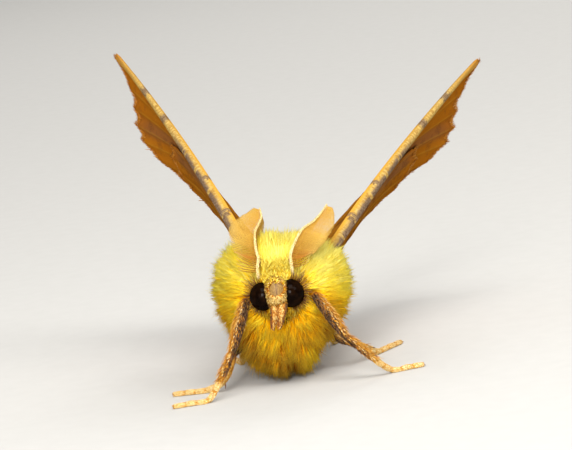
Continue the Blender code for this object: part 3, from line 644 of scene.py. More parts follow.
class Graph:
    """Short calls for laying out a node tree."""

    def __init__(self, tree: bpy.types.NodeTree) -> None:
        """Keeps the tree that the calls add to."""
        self.tree = tree

    def node(self, kind: str, **settings: object) -> bpy.types.Node:
        """A new node with some of its settings.

        Args:
            kind: The node's type.
            settings: Values for its properties.

        Returns:
            The node.
        """
        made = self.tree.nodes.new(kind)
        for key, value in settings.items():
            setattr(made, key, value)
        return made

    def plug(self, source: object, target: bpy.types.NodeSocket) -> None:
        """Links a socket to an input, or sets the input's own value.

        Args:
            source: A socket or a value.
            target: The input.
        """
        if isinstance(source, bpy.types.NodeSocket):
            self.tree.links.new(source, target)
        elif isinstance(source, (tuple, list)) and len(source) == 3 and target.type == "RGBA":
            target.default_value = (*source, 1.0)
        else:
            target.default_value = source

    def wired(self, kind: str, inputs: dict, **settings: object) -> object:
        """The outputs of a new node.

        Args:
            kind: The node's type.
            inputs: A source for each input named.
            settings: Values for its properties.

        Returns:
            Its outputs.
        """
        made = self.node(kind, **settings)
        for key, source in inputs.items():
            self.plug(source, made.inputs[key])
        return made.outputs

    def math(self, operation: str, a: object, b: object = 0.0, clamp: bool = False) -> object:
        """One operation on two numbers."""
        return self.wired("ShaderNodeMath", {0: a, 1: b}, operation=operation, use_clamp=clamp)[0]

    def times(self, a: object, b: object) -> object:
        """The product of two numbers."""
        return self.math("MULTIPLY", a, b)

    def plus(self, a: object, b: object) -> object:
        """The sum of two numbers."""
        return self.math("ADD", a, b)

    def less(self, a: object, b: object) -> object:
        """One number less another."""
        return self.math("SUBTRACT", a, b)

    def apart(self, a: object, b: object) -> object:
        """The distance between two numbers."""
        return self.math("ABSOLUTE", self.less(a, b))

    def fit(self, value: object, low: float, high: float, to_low: float = 0.0,
            to_high: float = 1.0) -> object:
        """A number carried smoothly from one range to another, and held at its ends."""
        inputs = dict(enumerate((value, low, high, to_low, to_high)))
        return self.wired("ShaderNodeMapRange", inputs, interpolation_type="SMOOTHSTEP")[0]

    def mix(self, share: object, a: object, b: object, blend: str = "MIX") -> object:
        """Two colours blended."""
        inputs = {0: share, 6: a, 7: b}
        return self.wired("ShaderNodeMix", inputs, data_type="RGBA", blend_type=blend)[2]

    def ramp(self, value: object, stops: Sequence) -> object:
        """A colour from a number, through stops of (place, (red, green, blue)).

        Args:
            value: The number.
            stops: The stops, in order.

        Returns:
            The colour.
        """
        made = self.node("ShaderNodeValToRGB")
        elements = made.color_ramp.elements
        while len(elements) < len(stops):
            elements.new(0.5)
        for element, (place, colour) in zip(elements, stops):
            element.position = place
            element.color = (*colour, 1.0)
        self.plug(value, made.inputs[0])
        return made.outputs[0]

    def noise(self, place: object, scale: float, detail: float = 2.0,
              rough: float = 0.5) -> object:
        """Cloudy noise from 0 to 1."""
        inputs = {"Vector": place, "Scale": scale, "Detail": detail, "Roughness": rough}
        return self.wired("ShaderNodeTexNoise", inputs)["Fac"]

    def cells(self, place: object, scale: object, randomness: float = 1.0) -> object:
        """The Distance to the nearest of many cell points, and that cell's own Color."""
        inputs = {"Vector": place, "Scale": scale, "Randomness": randomness}
        return self.wired("ShaderNodeTexVoronoi", inputs)

    def red(self, colour: object) -> object:
        """The red share of a colour."""
        return self.wired("ShaderNodeSeparateColor", {0: colour})[0]

    def attribute(self, name: str) -> object:
        """A number kept on the mesh under a name."""
        return self.wired("ShaderNodeAttribute", {}, attribute_name=name)["Fac"]

    def place(self) -> object:
        """The place on the object, in its own coordinates."""
        return self.wired("ShaderNodeTexCoord", {})["Object"]

    def stretched(self, place: object, scale: Sequence[float], turn: float = 0.0) -> object:
        """A place scaled along each axis, and turned about Z."""
        inputs = {"Vector": place, "Scale": scale, "Rotation": (0.0, 0.0, turn)}
        return self.wired("ShaderNodeMapping", inputs)[0]

    def emboss(self, shader: bpy.types.Node, height: object, depth: float,
               strength: float = 1.0) -> None:
        """Bumps a shader's surface by a height from 0 to 1, as deep as depth in metres."""
        inputs = {"Height": height, "Distance": depth, "Strength": strength}
        self.plug(self.wired("ShaderNodeBump", inputs)[0], shader.inputs["Normal"])


def new_material(name: str, roughness: float, specular: float = 0.5) -> tuple:
    """A new Principled material.

    Args:
        name: Its name.
        roughness: How rough it is.
        specular: How strongly it reflects.

    Returns:
        The material, its Graph and its shader.
    """
    made = bpy.data.materials.new(name)
    made.use_nodes = True
    shader = made.node_tree.nodes["Principled BSDF"]
    shader.inputs["Roughness"].default_value = roughness
    shader.inputs["Specular IOR Level"].default_value = specular
    return made, Graph(made.node_tree), shader


def group_of(name: str, inputs: Sequence, outputs: Sequence, fill: Callable) -> bpy.types.NodeTree:
    """A shader node group with named sockets.

    Args:
        name: The group's name.
        inputs: Rows of (name, socket type, default).
        outputs: Rows of (name, socket type).
        fill: Lays out the inside, given a Graph and the input node's sockets, and returns
            the values for the outputs in order.

    Returns:
        The group's node tree.
    """
    tree = bpy.data.node_groups.new(name, "ShaderNodeTree")
    for label, kind, default in inputs:
        socket = tree.interface.new_socket(label, in_out="INPUT", socket_type=kind)
        if default is not None:
            socket.default_value = default
    for label, kind in outputs:
        tree.interface.new_socket(label, in_out="OUTPUT", socket_type=kind)
    graph = Graph(tree)
    entry, leave = graph.node("NodeGroupInput"), graph.node("NodeGroupOutput")
    for value, socket in zip(fill(graph, entry.outputs), leave.inputs):
        graph.plug(value, socket)
    return tree


def tuft_shade_group() -> bpy.types.NodeTree:
    """Group: darkens a tuft's colour towards its root and lightens it towards its tip. The darker
    root is painted shade in the depth of the coat, and partly the hair's own darker base.

    Returns:
        The group's node tree.
    """

    def fill(graph: Graph, entry: object) -> list:
        """The colour, with painted shade towards the root and the tip colour towards the tip.

        Args:
            graph: The group's inside.
            entry: Its inputs.

        Returns:
            What goes out.
        """
        along = graph.attribute("along")
        # Painted shade in the coat's depth, partly the hair's own darker base: the colour times the
        # root colour, fading out by three quarters of the length.
        dark = graph.mix(1.0, entry["Colour"], entry["Root"], "MULTIPLY")
        body = graph.mix(graph.fit(along, 0.0, 0.75), dark, entry["Colour"])
        light = graph.times(graph.fit(along, 0.55, 1.0), entry["Tip Share"])
        return [graph.mix(light, body, entry["Tip"])]

    return group_of(
        "Tuft shade",
        (("Colour", "NodeSocketColor", (1, 1, 1, 1)),
         ("Root", "NodeSocketColor", (0.5, 0.4, 0.3, 1)),
         ("Tip", "NodeSocketColor", (1, 1, 1, 1)), ("Tip Share", "NodeSocketFloat", 0.3)),
        (("Colour", "NodeSocketColor"),), fill,
    )


def scale_grain_group() -> bpy.types.NodeTree:
    """Group: a bed of small flat scales, as a light-and-dark grain and a height for a bump.

    Returns:
        The group's node tree.
    """

    def fill(graph: Graph, entry: object) -> list:
        """Each scale's own number, and its height."""
        near = graph.cells(entry["Place"], entry["Scale"])
        return [graph.red(near["Color"]), graph.less(1.0, near["Distance"])]

    return group_of(
        "Scale grain",
        (("Place", "NodeSocketVector", None), ("Scale", "NodeSocketFloat", 12000.0)),
        (("Grain", "NodeSocketFloat"), ("Height", "NodeSocketFloat")), fill,
    )


@dataclass(frozen=True)
class Finish:
    """A Principled material whose colour comes from a ramp over the mesh's own tone.

    Attributes:
        name: The material's name.
        stops: The ramp from tone 0 to tone 1.
        roughness: How rough it is.
        specular: How strongly it reflects.
        root: What a tuft's colour is multiplied by at its root: painted shade in the depth of the
            coat, and partly the hair's own darker base.
        tip: The colour that a tuft nears at its tip.
        tip_share: How far it nears it.
    """

    name: str
    stops: Sequence
    roughness: float = 0.6
    specular: float = 0.3
    root: tuple = (0.55, 0.42, 0.30)
    tip: tuple = (1.0, 0.95, 0.7)
    tip_share: float = 0.25

    def tufts(self, shade: bpy.types.NodeTree) -> bpy.types.Material:
        """The finish as it is on tufts.

        Args:
            shade: The group that shades a tuft.

        Returns:
            The material.
        """
        made, graph, shader = new_material(self.name, self.roughness, self.specular)
        colour = graph.ramp(graph.attribute("tone"), self.stops)
        inputs = {"Colour": colour, "Root": self.root, "Tip": self.tip, "Tip Share": self.tip_share}
        shaded = graph.wired("ShaderNodeGroup", inputs, node_tree=shade)
        graph.plug(shaded["Colour"], shader.inputs["Base Color"])
        return made

    def skin(self, grain: bpy.types.NodeTree, scale: float, dark: tuple, amount: float,
             depth: float) -> bpy.types.Material:
        """The finish as it is on bare skin or close scales.

        Args:
            grain: The group that gives the bed of scales.
            scale: How many scales there are to a metre.
            dark: What the colour is multiplied by between scales, as painted shade in the gaps.
            amount: How strongly that shows.
            depth: The bump's depth in metres.

        Returns:
            The material.
        """
        made, graph, shader = new_material(self.name, self.roughness, self.specular)
        inputs = {"Place": graph.place(), "Scale": scale}
        bed = graph.wired("ShaderNodeGroup", inputs, node_tree=grain)
        jitter = graph.times(graph.less(bed["Grain"], 0.5), amount)
        tone = graph.math("ADD", graph.attribute("tone"), jitter, clamp=True)
        colour = graph.ramp(tone, self.stops)
        # Painted shade: darker where the bed of scales is low, between the scales.
        low = graph.fit(bed["Height"], 0.2, 0.75, 1.0, 0.0)
        colour = graph.mix(graph.times(low, 0.6), colour, graph.mix(1.0, colour, dark, "MULTIPLY"))
        graph.plug(colour, shader.inputs["Base Color"])
        graph.emboss(shader, bed["Height"], depth)
        return made


FUR = Finish(
    "canary fur",
    ((0.0, (0.34, 0.085, 0.001)), (0.25, (0.68, 0.27, 0.002)), (0.5, (0.95, 0.52, 0.003)),
     (0.75, (0.98, 0.74, 0.030)), (1.0, (0.98, 0.89, 0.24))),
    roughness=0.6, specular=0.0, root=(0.76, 0.38, 0.07), tip=(1.0, 0.83, 0.10), tip_share=0.40,
)
EYE_HAIR = Finish(
    "eye hair",
    ((0.0, (0.050, 0.022, 0.015)), (0.5, (0.21, 0.110, 0.050)), (1.0, (0.62, 0.38, 0.06))),
    roughness=0.5, specular=0.0, tip=(0.09, 0.045, 0.030), tip_share=0.4, root=(0.9, 0.7, 0.5),
)
CROWN = Finish(
    "crown scales",
    ((0.0, (0.13, 0.04, 0.004)), (0.3, (0.42, 0.19, 0.006)), (0.6, (0.70, 0.47, 0.018)),
     (1.0, (0.86, 0.75, 0.14))),
    roughness=0.5, specular=0.0, root=(0.55, 0.33, 0.10), tip=(0.95, 0.84, 0.20), tip_share=0.2,
)
FACE = Finish(
    "face scales",
    ((0.0, (0.15, 0.045, 0.006)), (0.35, (0.34, 0.115, 0.009)), (0.65, (0.55, 0.29, 0.034)),
     (1.0, (0.88, 0.67, 0.25))),
    roughness=0.5, specular=0.0, root=(0.72, 0.45, 0.22), tip=(0.96, 0.78, 0.32), tip_share=0.2,
)
PALP = Finish(
    "palp scales",
    ((0.0, (0.07, 0.028, 0.024)), (0.3, (0.36, 0.085, 0.006)), (0.6, (0.60, 0.25, 0.026)),
     (1.0, (0.86, 0.66, 0.25))),
    roughness=0.5, specular=0.04, root=(0.6, 0.28, 0.15), tip=(0.92, 0.68, 0.26), tip_share=0.2,
)
LEG = Finish(
    "leg scales",
    ((0.0, (0.036, 0.015, 0.009)), (0.22, (0.15, 0.080, 0.050)), (0.42, (0.44, 0.16, 0.014)),
     (0.65, (0.66, 0.31, 0.030)), (0.85, (0.78, 0.52, 0.16)), (1.0, (0.88, 0.71, 0.36))),
    roughness=0.55, specular=0.03, tip=(0.88, 0.67, 0.28), tip_share=0.2, root=(0.55, 0.36, 0.22),
)
COMB = Finish(
    "feeler comb",
    ((0.0, (0.26, 0.080, 0.008)), (0.5, (0.56, 0.35, 0.070)), (0.8, (0.78, 0.62, 0.26)),
     (1.0, (0.93, 0.84, 0.50))),
    roughness=0.5, specular=0.0, root=(0.90, 0.78, 0.60), tip=(0.72, 0.56, 0.17), tip_share=0.3,
)
BELLY = Finish(
    "abdomen scales",
    ((0.0, (0.28, 0.12, 0.02)), (0.4, (0.60, 0.33, 0.05)), (0.7, (0.80, 0.53, 0.12)),
     (1.0, (0.93, 0.76, 0.32))),
    roughness=0.6, specular=0.05, tip=(0.95, 0.80, 0.42), tip_share=0.25,
)
FRINGE = Finish(
    "wing fringe",
    ((0.0, (0.10, 0.035, 0.010)), (0.4, (0.32, 0.105, 0.009)), (0.7, (0.52, 0.22, 0.026)),
     (1.0, (0.80, 0.52, 0.16))),
    roughness=0.6, specular=0.05, root=(0.8, 0.7, 0.6), tip=(0.72, 0.40, 0.09), tip_share=0.15,
)


class Materials:
    """Every shared material, made once."""

    def __init__(self) -> None:
        """Builds the groups and the materials that use them."""
        shade, grain = tuft_shade_group(), scale_grain_group()
        self.fur = FUR.tufts(shade)
        self.eye_hair = EYE_HAIR.tufts(shade)
        self.crown = CROWN.tufts(shade)
        self.face = FACE.tufts(shade)
        self.palp_scales = PALP.tufts(shade)
        self.leg_scales = LEG.tufts(shade)
        self.comb = COMB.tufts(shade)
        self.belly = BELLY.tufts(shade)
        self.fringe = FRINGE.tufts(shade)
        # The third value of each skin is the painted shade between its scales.
        self.body_skin = FUR.skin(grain, 9000.0, (0.5, 0.35, 0.2), 0.15, 0.00003)
        self.palp_skin = PALP.skin(grain, 16000.0, (0.5, 0.3, 0.25), 0.5, 0.00002)
        self.leg_skin = LEG.skin(grain, 14000.0, (0.5, 0.4, 0.35), 0.45, 0.00002)
        self.shaft = COMB.skin(grain, 16000.0, (0.6, 0.45, 0.35), 0.2, 0.00001)


@dataclass(frozen=True)
class HornFinish:
    """A smooth dark horn, a little mottled, for claws and spurs."""

    dark: tuple = (0.11, 0.05, 0.022)
    light: tuple = (0.24, 0.11, 0.045)

    def make(self) -> bpy.types.Material:
        """Mixes two browns by a noise.

        Returns:
            The material.
        """
        made, graph, shader = new_material("claw horn", 0.35)
        shade = graph.fit(graph.noise(graph.place(), 9000.0, 3.0), 0.35, 0.65)
        graph.plug(graph.mix(shade, self.dark, self.light), shader.inputs["Base Color"])
        return made


@dataclass(frozen=True)
class Swelling:
    """One rounded length of the body, in the body frame.

    At a share t of its length before or behind its middle, its section is its fullest one
    times the taper (1 - t^p)^(1/p), where p is its end power.
    """

    middle: tuple
    half_width: float
    rise: float
    drop: float
    front: float
    back: float
    power_up: float = 2.0
    power_down: float = 2.0
    end_power: float = 2.0

    def taper(self, y: Array) -> Array:
        """How full the section is at each y.

        Args:
            y: Places along the body.

        Returns:
            The taper at each place.
        """
        far = y - self.middle[1]
        t = np.abs(far) / np.where(far < 0, self.front, self.back)
        return np.clip(1 - t ** self.end_power, 0, None) ** (1 / self.end_power)


@dataclass(frozen=True)
class BodySkin:
    """The skin of head, thorax and abdomen as one closed surface without a seam.

    Rings stand across the body's length. Where the head, the thorax and the abdomen overlap,
    each ring's measures are their mean, weighted by the fourth power of their widths, so that
    one runs smoothly into the next.
    """

    coat_depth: float = 0.78
    head: Swelling = Swelling((-0.08, -3.0, 5.29), 1.12, 1.18, 1.18, 1.24, 1.7)
    belly_route: tuple = ((2.6, 3.95), (5.0, 3.7), (8.0, 3.3), (10.6, 3.15), (12.0, 3.3),
                          (13.2, 3.35))
    belly_radius: float = 1.27
    belly_full: tuple = ((0.0, 0.0), (0.10, 0.72), (0.22, 0.92), (0.48, 1.0), (0.75, 0.86),
                         (0.90, 0.66), (0.97, 0.42), (1.0, 0.0))
    belly_ends: tuple = (2.2, 12.5)
    segments: int = 7
    end_length: float = 0.4
    parting: float = 0.42
    sides: int = 128

    @property
    def thorax(self) -> Swelling:
        """The thorax, as deep below the solids' outline as the coat.

        Returns:
            The swelling.
        """
        d = self.coat_depth
        return Swelling((0.0, 0.35, 4.6), 3.66 - d, 3.15 - d, 4.35 - d, 3.55 - d, 3.9 - d,
                        3.0, 1.55, 2.3)

    def belly(self, y: Array) -> tuple:
        """The abdomen's middle height and radius at each y, with a waist at each segment.

        Args:
            y: Places along the body.

        Returns:
            The heights and the radii.
        """
        route = np.array(self.belly_route)
        start, end = self.belly_ends
        share = np.clip((y - start) / (end - start), 0, 1)
        fullness = np.interp(share, *np.transpose(self.belly_full))
        waist = 1 + 0.03 * np.cos(share * 2 * math.pi * self.segments)
        return np.interp(y, route[:, 0], route[:, 1]), self.belly_radius * fullness * waist

    def rows(self) -> Array:
        """Where the rings stand, closer at the front, the back and each end of the thorax.

        Returns:
            Places along the body.
        """
        head, thorax = self.head, self.thorax
        turn = np.linspace(0.12, math.pi / 2, 16)
        tip = head.middle[1] - head.front * np.cos(turn)
        wave = -np.cos(np.linspace(0.10, math.pi - 0.10, 44))
        trunk = thorax.middle[1] + np.where(wave < 0, thorax.front, thorax.back) * wave
        neck = np.linspace(tip[-1], trunk[0], 6)[1:-1]
        tail = np.linspace(trunk[-1], self.belly_ends[1] - self.end_length, 60)[1:]
        last = self.end_length * np.cos(np.linspace(0, math.pi / 2, 8))[1:-1]
        return np.concatenate([tip, neck, trunk, tail, self.belly_ends[1] - last])

    def surface(self) -> Surface:
        """The skin in the floor frame.

        A ring holds the points where |x / width|^p + |z / height|^p is 1, measured from its
        middle. Its height and its power p have one value above the middle and one below it.

        Returns:
            The surface.
        """
        y = self.rows()
        belly_z, belly_r = self.belly(y)
        parts = [(s.middle[0], s.middle[2], s.half_width, s.rise, s.drop, s.power_up,
                  s.power_down, s.taper(y)) for s in (self.head, self.thorax)]
        parts.append((0.0, belly_z, 1.0, 1.0, 1.0, 2.0, 2.0, belly_r))
        x, z, half, rise, drop, powers_up, powers_down, taper = zip(*parts)
        width = np.array([np.maximum(h * t, 1e-4) for h, t in zip(half, taper)])
        share = width ** 4 / (width ** 4).sum(axis=0)

        def mean(values: Sequence) -> Array:
            """One of the three parts' measures, averaged by their share of each ring."""
            return sum(k * v for k, v in zip(share, values))

        middle_x, middle_z, power_up, power_down = map(mean, (x, z, powers_up, powers_down))
        rise = mean([a + b * t for a, b, t in zip(z, rise, taper)]) - middle_z
        drop = middle_z - mean([a - b * t for a, b, t in zip(z, drop, taper)])
        wide = (width ** 4).sum(axis=0) ** 0.25
        angle = np.arange(self.sides) * (2 * math.pi / self.sides)
        cos, sin = np.cos(angle)[None], np.sin(angle)[None]
        power = np.where(sin > 0, power_up[:, None], power_down[:, None])
        swell = (np.abs(cos) ** power + np.abs(sin) ** power) ** (-1 / power)
        height = np.where(sin > 0, rise[:, None], drop[:, None])
        rings = np.stack([
            middle_x[:, None] + wide[:, None] * swell * cos,
            np.broadcast_to(y[:, None], swell.shape), middle_z[:, None] + height * swell * sin,
        ], axis=-1)
        nose = np.array((middle_x[0], self.head.middle[1] - self.head.front, middle_z[0]))
        tail = np.array((0.0, self.belly_ends[1], belly_z[-1]))
        return Surface(rings, nose, tail).moved(STANCE.from_body)

    def tone(self, places: Array, normals: Array) -> Array:
        """The body's tone, from deep orange (0) to pale lemon (1): its own marking with painted
        light and shade laid in.

        It is palest on top and in front of the shoulders, golden on the chest and orange low down,
        at the back and in the hollows beside the forelegs. The paling upwards and on what faces up
        is partly painted light, the darkening low down is partly painted shade, and the darkening
        of the hollows beside the forelegs and of the chest's parting is painted shade.

        Args:
            places: Points in the floor frame.
            normals: Their normals.

        Returns:
            One tone a point.
        """
        at = STANCE.to_body(places)
        up = STANCE.to_body(normals)[:, 2]
        # Partly painted light: paler higher up and where the skin faces up; partly painted shade:
        # darker low down.
        tone = 0.60 + 0.24 * smooth_step(at[:, 2], 3.4, 6.0) + 0.12 * up
        tone -= 0.16 * smooth_step(at[:, 2], 3.2, 1.2)
        front = at[:, 1] < -0.4
        # Painted shade in the hollows beside the forelegs and along the parting of the chest's fur.
        painted_hollow_shade = bump(at[:, 0], 1.85, 0.42) * bump(at[:, 2], 4.0, 0.9)
        painted_hollow_shade = (painted_hollow_shade + bump(at[:, 0], -1.5, 0.38) * bump(at[:, 2], 2.8, 0.8)) * front
        parting = bump(at[:, 0], self.parting, 0.16) * smooth_step(at[:, 2], 3.1, 2.5) * front
        tone = tone - 0.55 * painted_hollow_shade - 0.40 * parting
        return (tone - 0.22 * smooth_step(at[:, 1], 0.0, 3.6)).clip(0.02, 1)

    def build(self, materials: Materials) -> Surface:
        """Makes the skin.

        Args:
            materials: The shared materials.

        Returns:
            The skin's surface, for the coats.
        """
        surface = self.surface()
        normals = np.vstack([surface.normals().reshape(-1, 3), (0, -1, 0), (0, 1, 0)])
        # Painted shade: the skin is a little darker than the fur's tone, so that the gaps between
        # the hairs look deep.
        tone = self.tone(surface.mesh()[0], normals) - 0.12
        surface.build("body_skin", materials.body_skin, Slot.FUR, ("thorax", "head", "abdomen"),
                      {"tone": tone.clip(0, 1)})
        return surface


@dataclass
class Assembly:
    """What the sub-assemblies share: the materials that are made once for all of them."""

    materials: Materials


@dataclass
class ThoraxCoat(Assembly):
    """The long canary fur of the thorax.

    Hairs leave the skin steeply and bend over along the lie: away from the head over the
    shoulders and back, and down on the chest. Neighbours lean together into strands, locks and
    lumps, and a small share of longer guard hairs stands out of them.
    """

    skin: BodySkin
    count: int = 84_000
    width: float = 0.049
    lump_size: float = 1.15
    lock_size: float = 0.55
    strand_size: float = 0.20
    guard_share: float = 0.10
    seed: int = 21

    def weight(self, places: Array, normals: Array) -> Array:
        """How thickly hairs stand: only on the thorax, more on what faces front and up.

        Args:
            places: Points in the floor frame.
            normals: Their normals.

        Returns:
            A density at each place.
        """
        at, out = STANCE.to_body(places), STANCE.to_body(normals)
        on_thorax = smooth_step(at[:, 1], -2.9, -2.5) * smooth_step(at[:, 1], 4.6, 3.2)
        under_head = (at[:, 1] < -1.9) & (np.hypot(at[:, 0], at[:, 2] - 5.3) < 0.95)
        waist = (at[:, 1] > 2.9) & (np.hypot(at[:, 0], at[:, 2] - 3.9) < 1.0)
        shown = 1.0 + 0.5 * np.clip(-out[:, 1], 0, 1) + 0.2 * np.clip(out[:, 2], 0, 1)
        return on_thorax * shown * ~under_head * ~waist + BARE

    def lie(self, places: Array, normals: Array) -> Array:
        """The way that the fur lies at each place, in the body frame.

        Args:
            places: Points in the body frame.
            normals: Their normals.

        Returns:
            Ways along the skin.
        """
        away = unit(places - np.array((0.0, -3.2, 5.2)))
        way = away + np.array((0.0, 0.55, 0.0))
        chest = smooth_step(places[:, 2], 4.6, 3.2) * (places[:, 1] < 1.0)
        way = way + chest[:, None] * np.array((0.0, -0.45, -0.75))
        x = places[:, 0]
        part = bump(x, self.skin.parting, 0.5) * smooth_step(places[:, 2], 3.2, 2.2)
        way[:, 0] += np.sign(x - self.skin.parting) * part * 0.35
        return along_surface(way, normals)

    def build(self, surface: Surface, keep_clear: Sequence) -> None:
        """Makes the coat, leaving out hairs that would pass through what keep_clear lists.

        Args:
            surface: The body's skin.
            keep_clear: The capsules that hairs keep clear of.
        """
        rng = np.random.default_rng(self.seed)
        roots = surface.scatter(self.count, rng, self.weight)
        at, out = STANCE.to_body(roots.place), STANCE.to_body(roots.normal)
        lie = self.lie(at, out)
        top = smooth_step(at[:, 2], 5.2, 6.8)
        chest = smooth_step(at[:, 2], 4.6, 3.0) * smooth_step(at[:, 1], 1.5, -0.5)
        back = smooth_step(at[:, 1], 1.5, 3.2)
        belly = smooth_step(at[:, 2], 1.9, 1.2) * smooth_step(at[:, 1], -1.2, 0.0)
        flank = smooth_step(at[:, 2], 4.9, 3.2) * smooth_step(np.abs(at[:, 0]), 1.2, 2.2)
        length = 1.22 + 0.40 * chest + 0.55 * back + 0.1 * top - 0.50 * belly - 0.25 * flank
        length *= rng.normal(1.0, 0.12, len(roots)).clip(0.6, 1.3)
        stand = np.radians(56 - 14 * chest - 14 * back - 20 * flank)
        first = lifted(lie, out, stand + rng.normal(0, 0.12, len(roots)))
        last = lifted(lie, out, stand * 0.30 + rng.normal(0, 0.12, len(roots)))
        locks, lock_number = nearest_seed(at, self.lock_size)
        strands, strand_number = nearest_seed(at, self.strand_size, lane=7)
        pull = (locks - at) * (0.30 + 0.25 * chest[:, None]) + (strands - at) * 0.75
        lean = [np.stack([cell_noise(np.round(seeds * 40), k) - 0.5 for k in (11, 12, 13)], axis=1)
                for seeds in (locks, strands)]
        stray = rng.normal(0, 0.08, (len(roots), 3))
        last = unit(last + stray + lean[0] * 0.45 + lean[1] * 0.30)
        tone = self.skin.tone(roots.place, roots.normal) + rng.normal(0, 0.05, len(roots))
        tone += (lock_number - 0.5) * 0.18 + (strand_number - 0.5) * (0.20 + 0.08 * chest)
        # Painted light and shade: the moth's left shoulder is lightened and its right shoulder
        # darkened, to even out the lamps.
        painted_shoulder_light = smooth_step(at[:, 2], 4.6, 5.9) * smooth_step(at[:, 1], 2.5, 0.5)
        tone += painted_shoulder_light * (0.07 * smooth_step(at[:, 0], 0.9, 1.8)
                            - 0.07 * smooth_step(at[:, 0], -1.8, -3.0))
        # Painted shade between lumps: hairs are darker towards a lump's rim, most on the chest.
        lumps, _ = nearest_seed(at, self.lump_size, lane=23)
        rim = smooth_step(np.linalg.norm(lumps - at, axis=1), 0.32, 0.62) * (0.10 + 0.27 * chest)
        tone -= rim
        pull += (lumps - at) * rim[:, None]
        guard = rng.random(len(roots)) < self.guard_share
        length = np.where(guard, length * 1.22, length)
        width = self.width * rng.normal(1.0, 0.2, len(roots)).clip(0.5, 1.5) * (1 - 0.35 * guard)
        coat = Tufts(roots, STANCE.from_body(first), STANCE.from_body(last), length, width, tone,
                     TuftShape(stations=(0.0, 0.5), taper=(0.8, 1.0)), STANCE.from_body(pull))
        free = clear_of(coat, keep_clear)
        coat.kept(free).build("coat_thorax", self.materials.fur, Slot.FUR, self.seed)


@dataclass(frozen=True)
class Capsule:
    """A stretch of a leg or feeler that hairs keep clear of: two ends and a radius."""

    start: tuple
    end: tuple
    radius: float

    def holds(self, points: Array) -> Array:
        """Which points are nearer the line between the ends than the radius.

        Args:
            points: Points, in an array of any shape.

        Returns:
            True or false a point.
        """
        a, b = np.array(self.start), np.array(self.end)
        share = np.clip(dot(points - a, b - a) / dot(b - a, b - a), 0, 1)
        return np.linalg.norm(points - a - share[..., None] * (b - a), axis=-1) < self.radius


def clear_of(coat: Tufts, capsules: Sequence[Capsule]) -> Array:
    """Which tufts have no point of their outer part inside any of the capsules.

    Args:
        coat: The tufts.
        capsules: The capsules.

    Returns:
        True or false a tuft.
    """
    spine = coat.spine((0.45, 0.7, 1.0))
    free = np.ones(len(coat.roots), bool)
    for capsule in capsules:
        free &= ~capsule.holds(spine).any(axis=1)
    return free


@dataclass
class AbdomenCoat(Assembly):
    """Flat hair-scales along the abdomen, and the long tuft at its end."""

    skin: BodySkin
    count: int = 9_000
    tail_count: int = 1_200
    width: float = 0.075
    seed: int = 31

    def build(self, surface: Surface) -> None:
        """Makes both coats.

        Args:
            surface: The body's skin.
        """
        rng = np.random.default_rng(self.seed)
        start, end = self.skin.belly_ends

        def weight(places: Array, _: Array) -> Array:
            """How thickly the scales stand: only behind the thorax."""
            y = STANCE.to_body(places)[:, 1]
            return smooth_step(y, start + 0.3, start + 1.6) + BARE

        roots = surface.scatter(self.count, rng, weight)
        at, out = STANCE.to_body(roots.place), STANCE.to_body(roots.normal)
        count = len(roots)
        share = (at[:, 1] - start) / (end - start)
        lie = along_surface(np.array((0.0, 1.0, 0.0)) + rng.normal(0, 0.16, (count, 3)), out)
        fore = 1 - smooth_step(at[:, 1], 3.2, 5.5)
        tail = smooth_step(at[:, 1], 11.0, 12.2)
        length = (0.42 + 0.55 * fore + 0.35 * tail) * rng.normal(1, 0.15, count).clip(0.6, 1.4)
        stand = np.radians(20 + 22 * fore)
        ring = 0.5 + 0.5 * np.cos(share * 2 * math.pi * self.skin.segments + 0.6)
        tone = 0.58 + 0.16 * out[:, 2] + 0.14 * ring + 0.2 * fore + rng.normal(0, 0.10, count)
        width = self.width * rng.normal(1, 0.2, count).clip(0.5, 1.5)
        shape = TuftShape(stations=(0.0, 0.5), taper=(0.8, 1.0), flat=0.35, sink=0.04)
        coat = Tufts(roots, STANCE.from_body(lifted(lie, out, stand)),
                     STANCE.from_body(lifted(lie, out, stand * 0.2)), length, width, tone, shape)
        coat.build("coat_abdomen", self.materials.belly, Slot.ABDOMEN, self.seed)
        self.build_tail(surface, rng)

    def build_tail(self, surface: Surface, rng: Rng) -> None:
        """Long tufts that close to a point behind the last segment.

        Args:
            surface: The body's skin.
            rng: The source of random numbers.
        """

        def weight(places: Array, _: Array) -> Array:
            """How thickly the tufts stand: only round the last segment."""
            return (STANCE.to_body(places)[:, 1] > self.skin.belly_ends[1] - 0.75) + BARE

        roots = surface.scatter(self.tail_count, rng, weight)
        at = STANCE.to_body(roots.place)
        count = len(roots)
        aim = np.array((0.0, 13.9, 3.40)) + rng.normal(0, 0.16, (count, 3)) * (1, 1.4, 1)
        way = unit(aim - at)
        out = STANCE.to_body(roots.normal)
        length = np.linalg.norm(aim - at, axis=1) * rng.uniform(0.55, 0.95, count)
        tone = 0.7 + rng.normal(0, 0.12, count)
        first, last = unit(way + out * 0.25), unit(way - out * 0.15)
        coat = Tufts(roots, STANCE.from_body(first), STANCE.from_body(last), length,
                     np.full(count, 0.08), tone, TuftShape(flat=0.4))
        coat.build("coat_tail", self.materials.belly, Slot.ABDOMEN, self.seed + 5)


@dataclass
class Eye:
    """One compound eye: a glossy dark ball of fine facets."""

    side: Side
    out: float = 0.75
    forward: float = 0.60
    low: float = -0.02
    radii: tuple = (0.73, 0.74, 0.77)

    @property
    def middle(self) -> Array:
        """The ball's middle in the head frame."""
        return np.array((self.side.value * self.out, -self.forward, self.low))

    def build(self, material: bpy.types.Material) -> None:
        """Makes the ball with its front pole forwards."""
        ball = ellipsoid(self.middle, self.radii, 46, 72).moved(STANCE.from_head)
        ball.build(f"eye_ball_{self.side.word}", material, Slot.EYE, (f"eye_{self.side.word}",))


